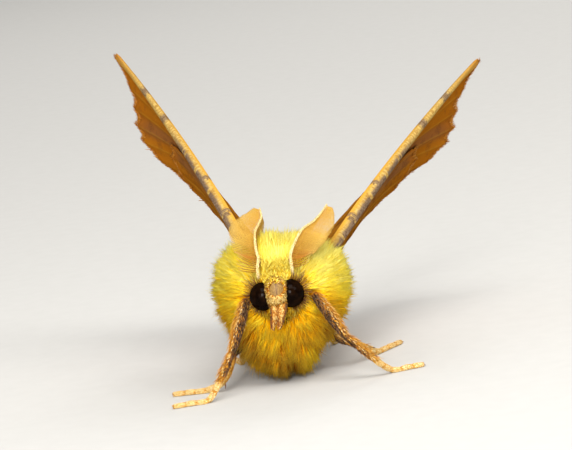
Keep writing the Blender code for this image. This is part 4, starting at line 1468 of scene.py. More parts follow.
@dataclass(frozen=True)
class EyeFinish:
    """Brown-black with small domed facets, darker clouds and one small soft highlight."""

    facets_per_metre: float = 42_000.0
    deep: tuple = (0.0015, 0.0005, 0.0002)
    cloud: tuple = (0.008, 0.0028, 0.0008)
    facet: tuple = (0.016, 0.006, 0.002)
    coat: float = 0.055
    coat_roughness: float = 0.03

    def make(self) -> bpy.types.Material:
        """Lays dark clouds under domed facets and a thin gloss.

        Returns:
            The material.
        """
        made, graph, shader = new_material("eye gloss", 0.38, 0.0)
        facet = graph.cells(graph.place(), self.facets_per_metre, 0.55)["Distance"]
        cloud = graph.fit(graph.noise(graph.place(), 2600.0, 2.0), 0.35, 0.7)
        colour = graph.mix(cloud, self.deep, self.cloud)
        colour = graph.mix(graph.fit(facet, 0.0, 0.55, 0.5, 0.0), colour, self.facet)
        graph.plug(colour, shader.inputs["Base Color"])
        graph.emboss(shader, graph.less(1.0, facet), 0.000004, 0.4)
        graph.plug(self.coat, shader.inputs["Coat Weight"])
        graph.plug(self.coat_roughness, shader.inputs["Coat Roughness"])
        return made


@dataclass(frozen=True)
class ShieldFinish:
    """The bare shield of the face: satin, greyish tan, with a fine line down its middle."""

    dark: tuple = (0.145, 0.074, 0.020)
    light: tuple = (0.30, 0.176, 0.046)
    line: tuple = (0.085, 0.032, 0.012)
    line_half: float = 0.034

    def make(self) -> bpy.types.Material:
        """Draws the line where the mesh's own distance from its middle is 0.

        Returns:
            The material.
        """
        made, graph, shader = new_material("face shield", 0.45, 0.25)
        fine = graph.noise(graph.place(), 16000.0, 4.0, 0.65)
        colour = graph.mix(graph.fit(fine, 0.35, 0.65), self.dark, self.light)
        off = graph.math("ABSOLUTE", graph.attribute("aside"))
        drawn = graph.fit(off, 0.2 * self.line_half, self.line_half, 0.8, 0.0)
        line = graph.times(drawn, graph.fit(graph.attribute("window"), 0.8, 1.0, 1.0, 0.0))
        graph.plug(graph.mix(line, colour, self.line), shader.inputs["Base Color"])
        graph.emboss(shader, fine, 0.000012)
        return made


@dataclass
class Face(Assembly):
    """The front of the head: a domed shield, its scales, and the hairs round the eyes."""

    shield_at: tuple = (0.05, -0.92, 0.12)
    shield_radii: tuple = (0.60, 0.60, 0.92)
    window_at: tuple = (0.11, 0.44)
    window_half: tuple = (0.43, 0.36)
    scale_count: int = 3_000
    crown_count: int = 6_000
    lash_count: int = 260
    seed: int = 41

    def shield(self) -> Surface:
        """The dome between the eyes, in the floor frame."""
        return ellipsoid(self.shield_at, self.shield_radii, 40, 64).moved(STANCE.from_head)

    def window(self, at: Array) -> Array:
        """How far each head-frame place is from the bare window, in half sizes of it.

        The window is a square with well rounded corners: its norm has the power 3.

        Args:
            at: Points in the head frame.

        Returns:
            One number a point, 1 at its edge.
        """
        x = np.abs(at[:, 0] - self.window_at[0]) / self.window_half[0]
        z = np.abs(at[:, 2] - self.window_at[1]) / self.window_half[1]
        return (x ** 3 + z ** 3) ** (1 / 3)

    def build(self, surface: Surface, eyes: Sequence[Eye]) -> None:
        """Makes the shield, its scales, the crown's scales and the hairs round the eyes.

        Args:
            surface: The body's skin.
            eyes: Both eyes.
        """
        rng = np.random.default_rng(self.seed)
        shield = self.shield()
        at = STANCE.to_head(shield.mesh()[0])
        values = {"aside": at[:, 0] - self.window_at[0], "window": self.window(at)}
        shield.build("face_shield", ShieldFinish().make(), Slot.FACE, values=values)
        self.build_scales(shield, rng)
        self.build_crown(surface, eyes, rng)
        for eye in eyes:
            self.build_lashes(eye, rng)

    def build_scales(self, shield: Surface, rng: Rng) -> None:
        """Short scales all over the shield but for its window, pointing away from it.

        Args:
            shield: The dome between the eyes.
            rng: The source of random numbers.
        """

        def weight(places: Array, _: Array) -> Array:
            """How thickly the scales stand: most along the window's ragged edge.

            Args:
                places: Points in the floor frame.
                _: Their normals, which play no part.

            Returns:
                A density at each place.
            """
            at = STANCE.to_head(places)
            edge = self.window(at) + 0.24 * (cell_noise(np.round(at * 9), 3) - 0.5)
            return (edge > 0.90) * (1 + 1.5 * bump(edge, 0.95, 0.12)) * (at[:, 1] < -0.95) + BARE

        roots = shield.scatter(self.scale_count, rng, weight)
        at, out = STANCE.to_head(roots.place), STANCE.turn_head(roots.normal, -1)
        count = len(roots)
        away = at - np.array((self.window_at[0], 0.0, self.window_at[1]))
        away[:, 1] = 0
        below = smooth_step(at[:, 2], 0.25, -0.05)
        lie = along_surface(unit(away) + np.array((0, 0, -0.6)) * below[:, None]
                            + rng.normal(0, 0.42, (count, 3)), out)
        tone = 0.42 + 0.54 * bump(at[:, 2], -0.02, 0.15)
        tone = tone - 0.20 * smooth_step(at[:, 2], -0.14, -0.28) + rng.normal(0, 0.30, count)
        tone -= 0.22 * smooth_step(np.abs(at[:, 0] - 0.08), 0.30, 0.55)
        tone += 0.10 * bump(self.window(at), 1.0, 0.22)
        beard = smooth_step(at[:, 2], -0.20, -0.38) * bump(at[:, 0], 0.05, 0.32)
        length = rng.uniform(0.14, 0.26, count) * (1 + 0.9 * beard)
        coat = Tufts(
            roots, STANCE.turn_head(lifted(lie, out, rng.uniform(0.25, 0.8, count))),
            STANCE.turn_head(lifted(lie, out, 0.35)), length, rng.uniform(0.05, 0.085, count),
            tone, SCALE)
        upper = at[:, 2] > 0.72 + rng.normal(0, 0.20, count)
        coat.kept(upper).build("brow_scales", self.materials.crown, Slot.FACE, self.seed)
        coat.kept(~upper).build("face_scales", self.materials.face, Slot.FACE, self.seed)

    def build_crown(self, surface: Surface, eyes: Sequence[Eye],
                    rng: Rng) -> None:
        """Speckled yellow and brown scales over the top of the head, longer further back.

        Args:
            surface: The body's skin.
            eyes: Both eyes.
            rng: The source of random numbers.
        """

        def weight(places: Array, _: Array) -> Array:
            """How thickly the scales stand: outside the eyes, and most at the front on top.

            Args:
                places: Points in the floor frame.
                _: Their normals, which play no part.

            Returns:
                A density at each place.
            """
            at = STANCE.to_head(places)
            free = np.ones(len(at), bool)
            for eye in eyes:
                free &= np.linalg.norm((at - eye.middle) / np.array(eye.radii), axis=1) > 1.0
            top = smooth_step(at[:, 2], 0.1, 0.5) * (at[:, 1] < 1.3)
            top = top * (1 + 1.2 * (at[:, 1] < -0.3))
            low = 0.35 * smooth_step(at[:, 2], -0.1, -0.5) * (at[:, 1] < 0.9)
            return free * (top + low) + BARE

        roots = surface.scatter(self.crown_count, rng, weight)
        at, out = STANCE.to_head(roots.place), STANCE.turn_head(roots.normal, -1)
        count = len(roots)
        rear = smooth_step(at[:, 1], -0.9, 0.4)
        low = at[:, 2] < 0
        way = np.array((0.0, 0.35, 0.8)) + at * (0.5, 0.0, 0.2) + rng.normal(0, 0.2, (count, 3))
        way[low] = np.array((0.0, 0.1, -1.0)) + rng.normal(0, 0.2, (low.sum(), 3))
        lie = along_surface(way, out)
        length = (0.22 + 0.62 * rear) * rng.normal(1, 0.15, count).clip(0.6, 1.4)
        stand = 0.55 + 0.4 * rear + rng.normal(0, 0.15, count)
        tone = 0.70 + 0.10 * rear - 0.25 * low + rng.normal(0, 0.18, count)
        tone -= 0.40 * (rng.random(count) < 0.20) * (1 - rear)
        shape = TuftShape(stations=(0.0, 0.5), taper=(0.8, 1.0), flat=0.4, sink=0.05)
        coat = Tufts(roots, STANCE.turn_head(lifted(lie, out, stand)),
                     STANCE.turn_head(lifted(lie, out, stand * 0.45)), length,
                     0.075 - 0.022 * rear, tone, shape)
        coat.build("crown_scales", self.materials.crown, Slot.FACE, self.seed + 1)

    def build_lashes(self, eye: Eye, rng: Rng) -> None:
        """Fine grey-brown hairs that spread from behind an eye, all round its outer side.

        Args:
            eye: The eye.
            rng: The source of random numbers.
        """
        sign, count = eye.side.value, self.lash_count
        angle = rng.uniform(-1.9, 2.15, count)
        ring = np.stack([sign * np.cos(angle), np.zeros(count), np.sin(angle)], axis=1)
        back = rng.uniform(0.05, 0.62, count)
        size = np.sqrt(np.clip(1 - (back / eye.radii[1]) ** 2, 0.1, 1))
        size = size * rng.uniform(0.93, 1.06, count)
        place = eye.middle + ring * np.array(eye.radii) * size[:, None]
        place[:, 1] += back
        normal = unit(ring + np.array((0, 0.35, 0)))
        way = unit(ring + np.stack([np.zeros(count), rng.uniform(-0.15, 0.75, count),
                                    rng.normal(0, 0.12, count)], axis=1))
        high = smooth_step(np.sin(angle), 0.2, 0.9)
        aside = smooth_step(np.cos(angle), 0.3, 0.9)
        length = rng.uniform(0.22, 0.55, count) * (1 + 0.35 * high + 0.35 * aside)
        tone = rng.beta(1.5, 2.6, count) + 0.12 * smooth_step(back, 0.3, 0.6)
        uv = np.stack([(angle + math.pi) / (2 * math.pi), back / 0.7], axis=1)
        roots = Roots(STANCE.from_head(place), STANCE.turn_head(normal), uv)
        shape = TuftShape(taper=(1.0, 0.8, 0.45), flat=0.8, waver=0.12)
        coat = Tufts(roots, STANCE.turn_head(way), STANCE.turn_head(unit(way + (0, 0.25, 0.05))),
                     length, rng.uniform(0.018, 0.034, count), tone, shape)
        coat.build(f"eye_hair_{eye.side.word}", self.materials.eye_hair, Slot.FACE, self.seed + 2)


@dataclass
class Palp(Assembly):
    """A labial palp: a blunt finger of overlapping scales that hangs below the face."""

    side: Side
    root: tuple = (0.20, -0.98, -0.34)
    knee: tuple = (0.192, -1.48, -0.86)
    tip: tuple = (0.175, -1.62, -1.56)
    sway: float = -0.26
    half: tuple = (0.17, 0.19, 0.185, 0.165, 0.135, 0.08)
    rings: int = 26
    count: int = 1_700
    seed: int = 51

    def surface(self) -> Surface:
        """The palp's skin: an oval tube from under the face, bent down and leaning right.

        Returns:
            The tube.
        """
        side = np.array((self.side.value, 1.0, 1.0))
        points = np.array([np.array(p) * side for p in (self.root, self.knee, self.tip)])
        points[:, 0] += self.sway * np.array((0.0, 0.2, 1.0)) + 0.10
        path = curve_through(points, self.rings)
        half = np.interp(np.linspace(0, 1, self.rings), np.linspace(0, 1, len(self.half)),
                         self.half)
        return tube(STANCE.from_head(path), half, half * 1.15, (1, 0, 0), 24)

    def build(self) -> None:
        """Makes the palp's skin and its scales."""
        rng = np.random.default_rng(self.seed + self.side.value)
        surface = self.surface()
        surface.build(f"palp_skin_{self.side.word}", self.materials.palp_skin, Slot.FACE,
                      (f"palp_{self.side.word}",), {"tone": 0.42})
        roots = surface.scatter(self.count, rng)
        count = len(roots)
        down = np.array((0.0, -0.35, -1.0))
        lie = along_surface(down + rng.normal(0, 0.15, (count, 3)), roots.normal)
        outer = roots.normal[:, 0] * self.side.value
        tone = 0.60 - 0.54 * smooth_step(outer, 0.40, 0.85) - 0.36 * smooth_step(outer, -0.2, -0.7)
        tone += rng.normal(0, 0.20, count) + 0.38 * (rng.random(count) < 0.34) * (outer < 0.4)
        coat = Tufts(roots, lifted(lie, roots.normal, 0.38), lifted(lie, roots.normal, 0.05),
                     rng.uniform(0.14, 0.24, count), rng.uniform(0.045, 0.075, count), tone, SCALE)
        coat.build(f"palp_scales_{self.side.word}", self.materials.palp_scales, Slot.FACE,
                   self.seed)


@dataclass
class Antenna(Assembly):
    """A comb-like feeler: a pale scaled shaft with two rows of fine rami in a V.

    Each ramus has a row of short bristles along both of its sides.
    """

    side: Side
    route: tuple
    row_ways: tuple
    radius: float = 0.070
    rami: int = 62
    reach: float = 1.42
    bristles: int = 24
    rings: int = 90
    fine_steps: int = 400
    scale_count: int = 1_500
    seed: int = 61

    def path(self, count: int) -> Array:
        """Points along the shaft in the floor frame."""
        return curve_through(STANCE.from_body(np.array(self.route)), count)

    def build(self) -> None:
        """Makes the shaft, its scales, the rami and their bristles.

        The shaft is a round tube that tapers evenly and swells with a cosine at each ramus.
        """
        rng = np.random.default_rng(self.seed + self.side.value)
        word = self.side.word
        path = self.path(self.rings)
        share = np.linspace(0, 1, len(path))
        beads = 1 + 0.06 * np.cos(share * 2 * math.pi * self.rami)
        radius = self.radius * (1 - 0.58 * share) * beads
        shaft = tube(path, radius, radius, (0, 0, 1), 16)
        shaft.build(f"antenna_shaft_{word}", self.materials.shaft, Slot.FEELER,
                    (f"antenna_{word}",), {"tone": 0.85})
        self.build_scales(shaft, rng)
        rows = [self.row(np.array(way), rng) for way in self.row_ways]
        comb = Tufts(
            Roots(*(np.concatenate([getattr(r.roots, key) for r in rows]) for key in
                    ("place", "normal", "uv"))),
            *(np.concatenate([getattr(r, key) for r in rows]) for key in
              ("first", "last", "length", "width", "tone")), rows[0].shape)
        comb.build(f"antenna_comb_{word}", self.materials.comb, Slot.FEELER, self.seed)
        self.build_bristles(comb, rng)

    def build_scales(self, shaft: Surface, rng: Rng) -> None:
        """Cream scales laid along the shaft.

        Args:
            shaft: The shaft's surface.
            rng: The source of random numbers.
        """
        roots = shaft.scatter(self.scale_count, rng)
        count = len(roots)
        way = steps_beside(self.path(self.rings), roots)
        lie = along_surface(way + rng.normal(0, 0.02, (count, 3)), roots.normal)
        shape = TuftShape(stations=(0.0, 0.55), taper=(0.8, 1.0), flat=0.3, sink=0.01)
        coat = Tufts(roots, lifted(lie, roots.normal, 0.18), lie, rng.uniform(0.10, 0.16, count),
                     rng.uniform(0.028, 0.045, count), 0.84 + rng.normal(0, 0.18, count), shape)
        coat.build(f"antenna_scales_{self.side.word}", self.materials.comb, Slot.FEELER,
                   self.seed + 1)

    def row(self, row_way: Array, rng: Rng) -> Tufts:
        """One row of rami: blades that leave the shaft across it and sweep towards its tip.

        Args:
            row_way: The way that the row leaves the shaft, in the body frame.
            rng: The source of random numbers.

        Returns:
            The rami.
        """
        at = np.linspace(0.07, 0.985, self.rami)
        fine = self.path(self.fine_steps)
        index = np.round(at * (self.fine_steps - 1)).astype(int)
        way = unit(np.gradient(fine, axis=0))[index]
        across = STANCE.from_body(row_way)
        out = unit(across - dot(way, across)[:, None] * way)
        reach = self.reach * np.interp(at, (0.0, 0.12, 0.45, 0.75, 0.92, 1.0),
                                       (0.50, 0.82, 1.0, 0.70, 0.40, 0.18))
        reach *= rng.normal(1, 0.012, self.rami)
        uv = np.stack([at, np.full_like(at, 0.5)], axis=1)
        roots = Roots(fine[index] + out * 0.03, np.cross(out, way), uv)
        first, last = unit(out + way * 0.06), unit(out + way * 0.55)
        shape = TuftShape(stations=(0.0, 0.2, 0.4, 0.6, 0.8, 0.94),
                          taper=(1.0, 1.0, 0.95, 0.88, 0.75, 0.5), flat=0.55, sides=6, waver=0.0)
        tone = 0.10 + 0.34 * smooth_step(at, 0.10, 0.50) + rng.normal(0, 0.03, self.rami)
        return Tufts(roots, first, last, reach * 1.08, np.full(self.rami, 0.055), tone, shape)

    def build_bristles(self, comb: Tufts, rng: Rng) -> None:
        """Short bristles on both sides of each ramus, lying in the plane of the comb.

        Args:
            comb: The rami of both rows.
            rng: The source of random numbers.
        """
        shares = np.linspace(0.08, 0.95, self.bristles)
        spine = comb.spine(shares)
        way = unit(np.gradient(spine, axis=1))
        normal = np.broadcast_to(comb.roots.normal[:, None], spine.shape)
        side = unit(np.cross(normal, way))
        both = [(spine, unit(side * s + way * 0.75)) for s in (-1, 1)]
        place = np.concatenate([p.reshape(-1, 3) for p, _ in both])
        ways = np.concatenate([w.reshape(-1, 3) for _, w in both])
        count = len(place)
        open_base = np.repeat(smooth_step(comb.roots.uv[:, 0], 0.08, 0.45), len(shares))
        full = 0.40 + 0.60 * np.tile(open_base, 2)
        ways = unit(ways + rng.normal(0, 0.10, ways.shape))
        uv = np.tile(np.stack(np.broadcast_arrays(comb.roots.uv[:, None, 0], shares[None]), -1)
                     .reshape(-1, 2), (2, 1))
        roots = Roots(place, np.tile(normal.reshape(-1, 3), (2, 1)), uv)
        last = unit(ways + np.tile(way.reshape(-1, 3), (2, 1)) * 0.4)
        shape = TuftShape(stations=(0.0, 0.5), taper=(1.0, 0.8), flat=0.9, sink=0.0)
        coat = Tufts(roots, ways, last, rng.uniform(0.09, 0.13, count) * full,
                     np.full(count, 0.021), 0.46 + rng.normal(0, 0.08, count), shape)
        word = self.side.word
        coat.build(f"antenna_bristles_{word}", self.materials.comb, Slot.FEELER, self.seed + 2)


@dataclass(frozen=True)
class WingPlan:
    """The outline of a wing in its own plane, u along the front edge and v down the chord.

    Attributes:
        kind: The wing's name, as its node has it.
        margin: Rows of (place across the wing, u, v) on the outer margin, from the apex.
        veins: Rows of (place across the wing, share of the length where the vein starts).
        root: Where the wing's front edge leaves the body.
        root_width: The wing's width there.
        front_swell: How far the front edge bulges.
        hind_swell: How far the hind edge bulges.
        offset: How far the whole wing lies below the fore wing's plane.
        drop: How much further its hind part lies below.
        spread: How much further its inner part lies below.
        edge: Half the thickness of the front edge at the root.
        scallop: How deep the bays of the margin are, as a share of the wing's length.
    """

    kind: str
    margin: tuple
    veins: tuple
    root: tuple
    root_width: float
    front_swell: float
    hind_swell: float
    offset: float
    drop: float
    spread: float
    edge: float
    scallop: float = 0.020

    def plan(self, share: Array, place: Array) -> tuple:
        """The place in the wing's plane of a share from root to margin and a place across.

        A place is the straight line from the root's edge to the margin at that share, plus a
        parabola along it for the swell. The margin is cut in a bay between every two veins, as
        deep as a power of the sine of the way from one vein to the next.

        Args:
            share: 0 at the root and 1 at the margin.
            place: 0 at the front edge and 1 at the hind edge.

        Returns:
            u and v.
        """
        margin = np.array(self.margin)
        veins = np.array([v for v, _ in self.veins])
        between = np.interp(place, veins, np.arange(len(veins)))
        inside = (place > veins[0]) & (place < veins[-1])
        bay = self.scallop * np.abs(np.sin(math.pi * between)) ** 1.3 * inside
        share = share - bay * smooth_step(share, 0.75, 1.0)
        out_u = np.interp(place, margin[:, 0], margin[:, 1])
        out_v = np.interp(place, margin[:, 0], margin[:, 2])
        swell = self.front_swell * (1 - place) ** 2 + self.hind_swell * place ** 2
        u = (1 - share) * self.root[0] + share * out_u
        v = (1 - share) * (self.root[1] + self.root_width * place) + share * out_v
        return u, v + 4 * swell * share * (1 - share)


FORE_PLAN = WingPlan(
    kind="forewing",
    margin=((0.0, 18.5, 0.45), (0.05, 18.6, 0.90), (0.17, 16.9, 1.9), (0.30, 16.55, 3.2),
            (0.42, 16.5, 4.5), (0.54, 16.1, 5.5), (0.67, 14.9, 6.7), (0.80, 13.7, 7.9),
            (0.94, 12.3, 9.0), (1.0, 11.5, 9.25)),
    veins=((0.05, 0.0), (0.17, 0.0), (0.30, 0.52), (0.42, 0.55), (0.54, 0.52), (0.67, 0.42),
           (0.80, 0.30), (0.94, 0.0)),
    root=(0.0, 0.0), root_width=1.7, front_swell=-0.45, hind_swell=1.0, offset=0.0, drop=0.0,
    spread=0.0, edge=0.34,
)
HIND_PLAN = WingPlan(
    kind="hindwing",
    margin=((0.0, 12.4, 3.0), (0.05, 12.8, 3.4), (0.20, 13.2, 4.8), (0.36, 13.0, 6.4),
            (0.52, 13.0, 8.0), (0.66, 11.4, 8.7), (0.80, 9.9, 9.3), (0.94, 8.2, 9.8),
            (1.0, 7.2, 9.8)),
    veins=((0.05, 0.0), (0.20, 0.0), (0.36, 0.48), (0.52, 0.48), (0.66, 0.40), (0.80, 0.25),
           (0.94, 0.0)),
    root=(0.2, 1.7), root_width=1.6, front_swell=-0.30, hind_swell=0.3, offset=0.16,
    drop=0.68, spread=2.3, edge=0.09,
)


@dataclass
class Wing(Assembly):
    """One wing: a thin curved membrane with raised veins, a thick front edge and a fringe.

    The plane of the fore wing holds its front edge and the level line of sight, so that it is
    seen edge on from the front. The wing leaves that plane towards its underside: its outer
    part flares open, its hind part bends back in and its front edge bows in.
    """

    side: Side
    plan: WingPlan
    root: tuple
    tip: tuple
    opening: float = 1.0
    sight: tuple = (-0.047, 0.985, -0.165)
    length: float = 18.5
    edge_bow: float = 0.30
    tip_flare: float = 0.52
    flare_width: float = 5.6
    back_bend: float = 0.55
    bend_width: float = 7.0
    membrane: float = 0.11
    vein_rise: float = 0.045
    front_width: float = 0.56
    front_fade: float = 0.46
    outer_fringe: float = 0.62
    rows: int = 110
    columns: int = 140
    fringe_count: int = 2_000
    seed: int = 71

    def axes(self) -> tuple:
        """The ways along the front edge, down the chord and out of the underside.

        Returns:
            The three ways, each of length one.
        """
        costa = unit(np.array(self.tip) - np.array(self.root))
        under = unit(np.cross(np.array(self.sight), costa)) * self.side.value
        return costa, np.cross(costa, under) * self.side.value, under

    def bend(self, u: Array, v: Array) -> Array:
        """How far each place of the wing leaves its flat plane towards its underside.

        It is a flare that grows with v and with the cube of u, less a fold down the chord and a
        parabola along the front edge, and with the offset, spread and drop of a hind wing.

        Args:
            u: Places along the front edge.
            v: Places down the chord.

        Returns:
            One height a place.
        """
        out = u / self.length
        flare = self.tip_flare * np.clip(v - 0.6, 0, self.flare_width) * out ** 3
        fold = self.back_bend * smooth_step(v, 0.0, self.bend_width)
        fold *= 1 - smooth_step(out, 0.45, 0.85) * (self.plan.drop == 0)
        bow = 4 * self.edge_bow * out * (1 - out)
        spread = self.plan.spread * smooth_step(v, 1.5, 6.0) * (1 - out) ** 2
        drop = self.plan.drop * smooth_step(v, 1.7, 5.5)
        return flare - fold - bow + self.plan.offset + (spread + drop) * self.opening

    def middle(self, share: Array, place: Array) -> tuple:
        """Body-frame points half way through the wing, with their u and v.

        A point is the root plus u costa plus v chord plus bend(u, v) under.

        Args:
            share: 0 at the root and 1 at the margin.
            place: 0 at the front edge and 1 at the hind edge.

        Returns:
            The points, u and v.
        """
        u, v = self.plan.plan(share, place)
        costa, chord, under = self.axes()
        points = (np.array(self.root) + costa * u[..., None] + chord * v[..., None]
                  + under * self.bend(u, v)[..., None])
        return points, u, v

    def ridges(self, share: Array, place: Array) -> Array:
        """1 along the top of each vein, falling off to its sides.

        Args:
            share: 0 at the root and 1 at the margin.
            place: 0 at the front edge and 1 at the hind edge.

        Returns:
            One number a place.
        """
        found = np.zeros(np.broadcast_shapes(share.shape, place.shape))
        for number, (at, start) in enumerate(self.plan.veins):
            begins = smooth_step(share, start - 0.05, start + 0.02) if start else 1.0
            found = np.maximum(found, bump(place, at, 0.010 if number else 0.014) * begins)
        return found

    def build(self, material: bpy.types.Material) -> None:
        """Makes the blade and its fringe.

        The two faces lie half the thickness to each side of the middle, along its normal. The
        thickness is the membrane's or the rounded front edge's, plus the ridges of the veins.
        A sine across the chord pleats the blade a little.

        Args:
            material: The blade's material.
        """
        name = f"{self.plan.kind}_{self.side.word}"
        share = np.linspace(0, 1, self.rows)[:, None] * np.ones((1, self.columns))
        place = (np.linspace(0, 1, self.columns) ** 1.15)[None] * np.ones((self.rows, 1))
        centre, u, v = self.middle(share, place)
        normal = unit(np.cross(np.gradient(centre, axis=0), np.gradient(centre, axis=1)))
        normal *= np.sign(dot(normal, self.axes()[2]).sum())
        ridge = self.ridges(share, place)
        down = np.linalg.norm(centre - centre[:, :1], axis=-1)
        round_edge = np.sqrt(np.clip(1 - (down / self.front_width - 0.5) ** 2 * 4, 0, 1))
        thick = self.plan.edge * (1 - 0.66 * share) * round_edge
        half = np.maximum(self.membrane / 2 * (1 - 0.5 * share), thick)
        half = half + self.vein_rise * ridge * (1 - 0.6 * share)
        half *= np.sqrt(np.clip(1 - np.maximum(0, share - 0.985) / 0.02, 0.2, 1))
        wave = 0.035 * np.sin(place * 2 * math.pi * 8) * smooth_step(share, 0.2, 0.8)
        centre = centre + normal * wave[..., None]
        grids = np.stack([centre - normal * half[..., None], centre + normal * half[..., None]])
        points = STANCE.from_body(grids.reshape(-1, 3))
        faces = facing_out(points, [self.faces()])
        both = np.stack([u / PLAN_UNIT, v / PLAN_UNIT], axis=-1).reshape(-1, 2)
        values = {
            "vein": np.tile(ridge.ravel(), 2),
            "under": 0.5 + 0.5 * np.concatenate([-half.ravel(), half.ravel()]) / half.max(),
            "front": np.tile(np.exp(-(down / self.front_fade) ** 2).ravel(), 2),
            "rim": np.tile(smooth_step(share, 0.93, 1.0).ravel(), 2),
        }
        piece = write_mesh(f"{name}_blade", points, faces, values,
                           {"plan": np.tile(both, (2, 1))})
        dress(piece, material, Slot.WING, (name,))
        self.build_fringe(name)

    def faces(self) -> Array:
        """Quads of the two faces of the plate and of the rim that joins them.

        Returns:
            One row of four point numbers a face.
        """
        rows, columns = self.rows, self.columns
        index = np.arange(rows * columns).reshape(rows, columns)
        quads = np.stack([index[:-1, :-1], index[:-1, 1:], index[1:, 1:], index[1:, :-1]], -1)
        quads = quads.reshape(-1, 4)
        rim = np.concatenate([index[:-1, 0], index[-1, :-1], index[:0:-1, -1], index[0, :0:-1]])
        after = np.roll(rim, -1)
        under = rows * columns
        walls = np.stack([rim, rim + under, after + under, after], axis=-1)
        return np.vstack([quads[:, ::-1], quads + under, walls])[:, ::-1]

    def build_fringe(self, name: str) -> None:
        """Scales that stand out from the outer and hind margins, darker at the vein ends.

        Args:
            name: The wing's name.
        """
        rng = np.random.default_rng(self.seed + len(name))
        count = self.fringe_count
        around = (np.arange(count) + rng.random(count)) / count
        corner = self.outer_fringe
        outer = around < corner
        share = np.where(outer, 1.0, 1 - (around - corner) / (1 - corner) * 0.9)
        place = np.where(outer, 0.03 + 0.97 * around / corner, 1.0)
        here, _, _ = self.middle(share, place)
        inner, _, _ = self.middle(share - 0.02 * outer, np.where(outer, place, 0.985))
        way = unit(here - inner)
        normal = np.broadcast_to(self.axes()[2], here.shape)
        here = here + normal * rng.normal(0, 0.012, count)[:, None]
        way = unit(way + rng.normal(0, 0.10, way.shape))
        vein = self.ridges(np.ones(count), place) * outer
        tone = 0.56 + rng.normal(0, 0.10, count) - 0.14 * smooth_step(vein, 0.02, 0.5)
        length = np.where(outer, 0.34, 0.26) * rng.normal(1, 0.15, count).clip(0.6, 1.4)
        length *= np.where(outer, 1.0, smooth_step(share, 0.1, 0.35) + 0.25)
        uv = np.stack([share, place], axis=1)
        fringe = Tufts(
            Roots(STANCE.from_body(here), STANCE.from_body(normal), uv), STANCE.from_body(way),
            STANCE.from_body(unit(way - normal * 0.1)), length, rng.uniform(0.035, 0.06, count),
            tone, TuftShape(stations=(0.0, 0.6), taper=(0.8, 1.0), flat=0.3, sink=0.12))
        outward = dot(way, unit(here - here.mean(axis=0))) > 0.1
        fringe.kept(outward).build(f"{name}_fringe", self.materials.fringe, Slot.WING, self.seed)


@dataclass(frozen=True)
class CrossLine:
    """A dark line across a wing, where p + slant q + curve q^2 equals its middle."""

    middle: float
    slant: float
    curve: float
    half_width: float


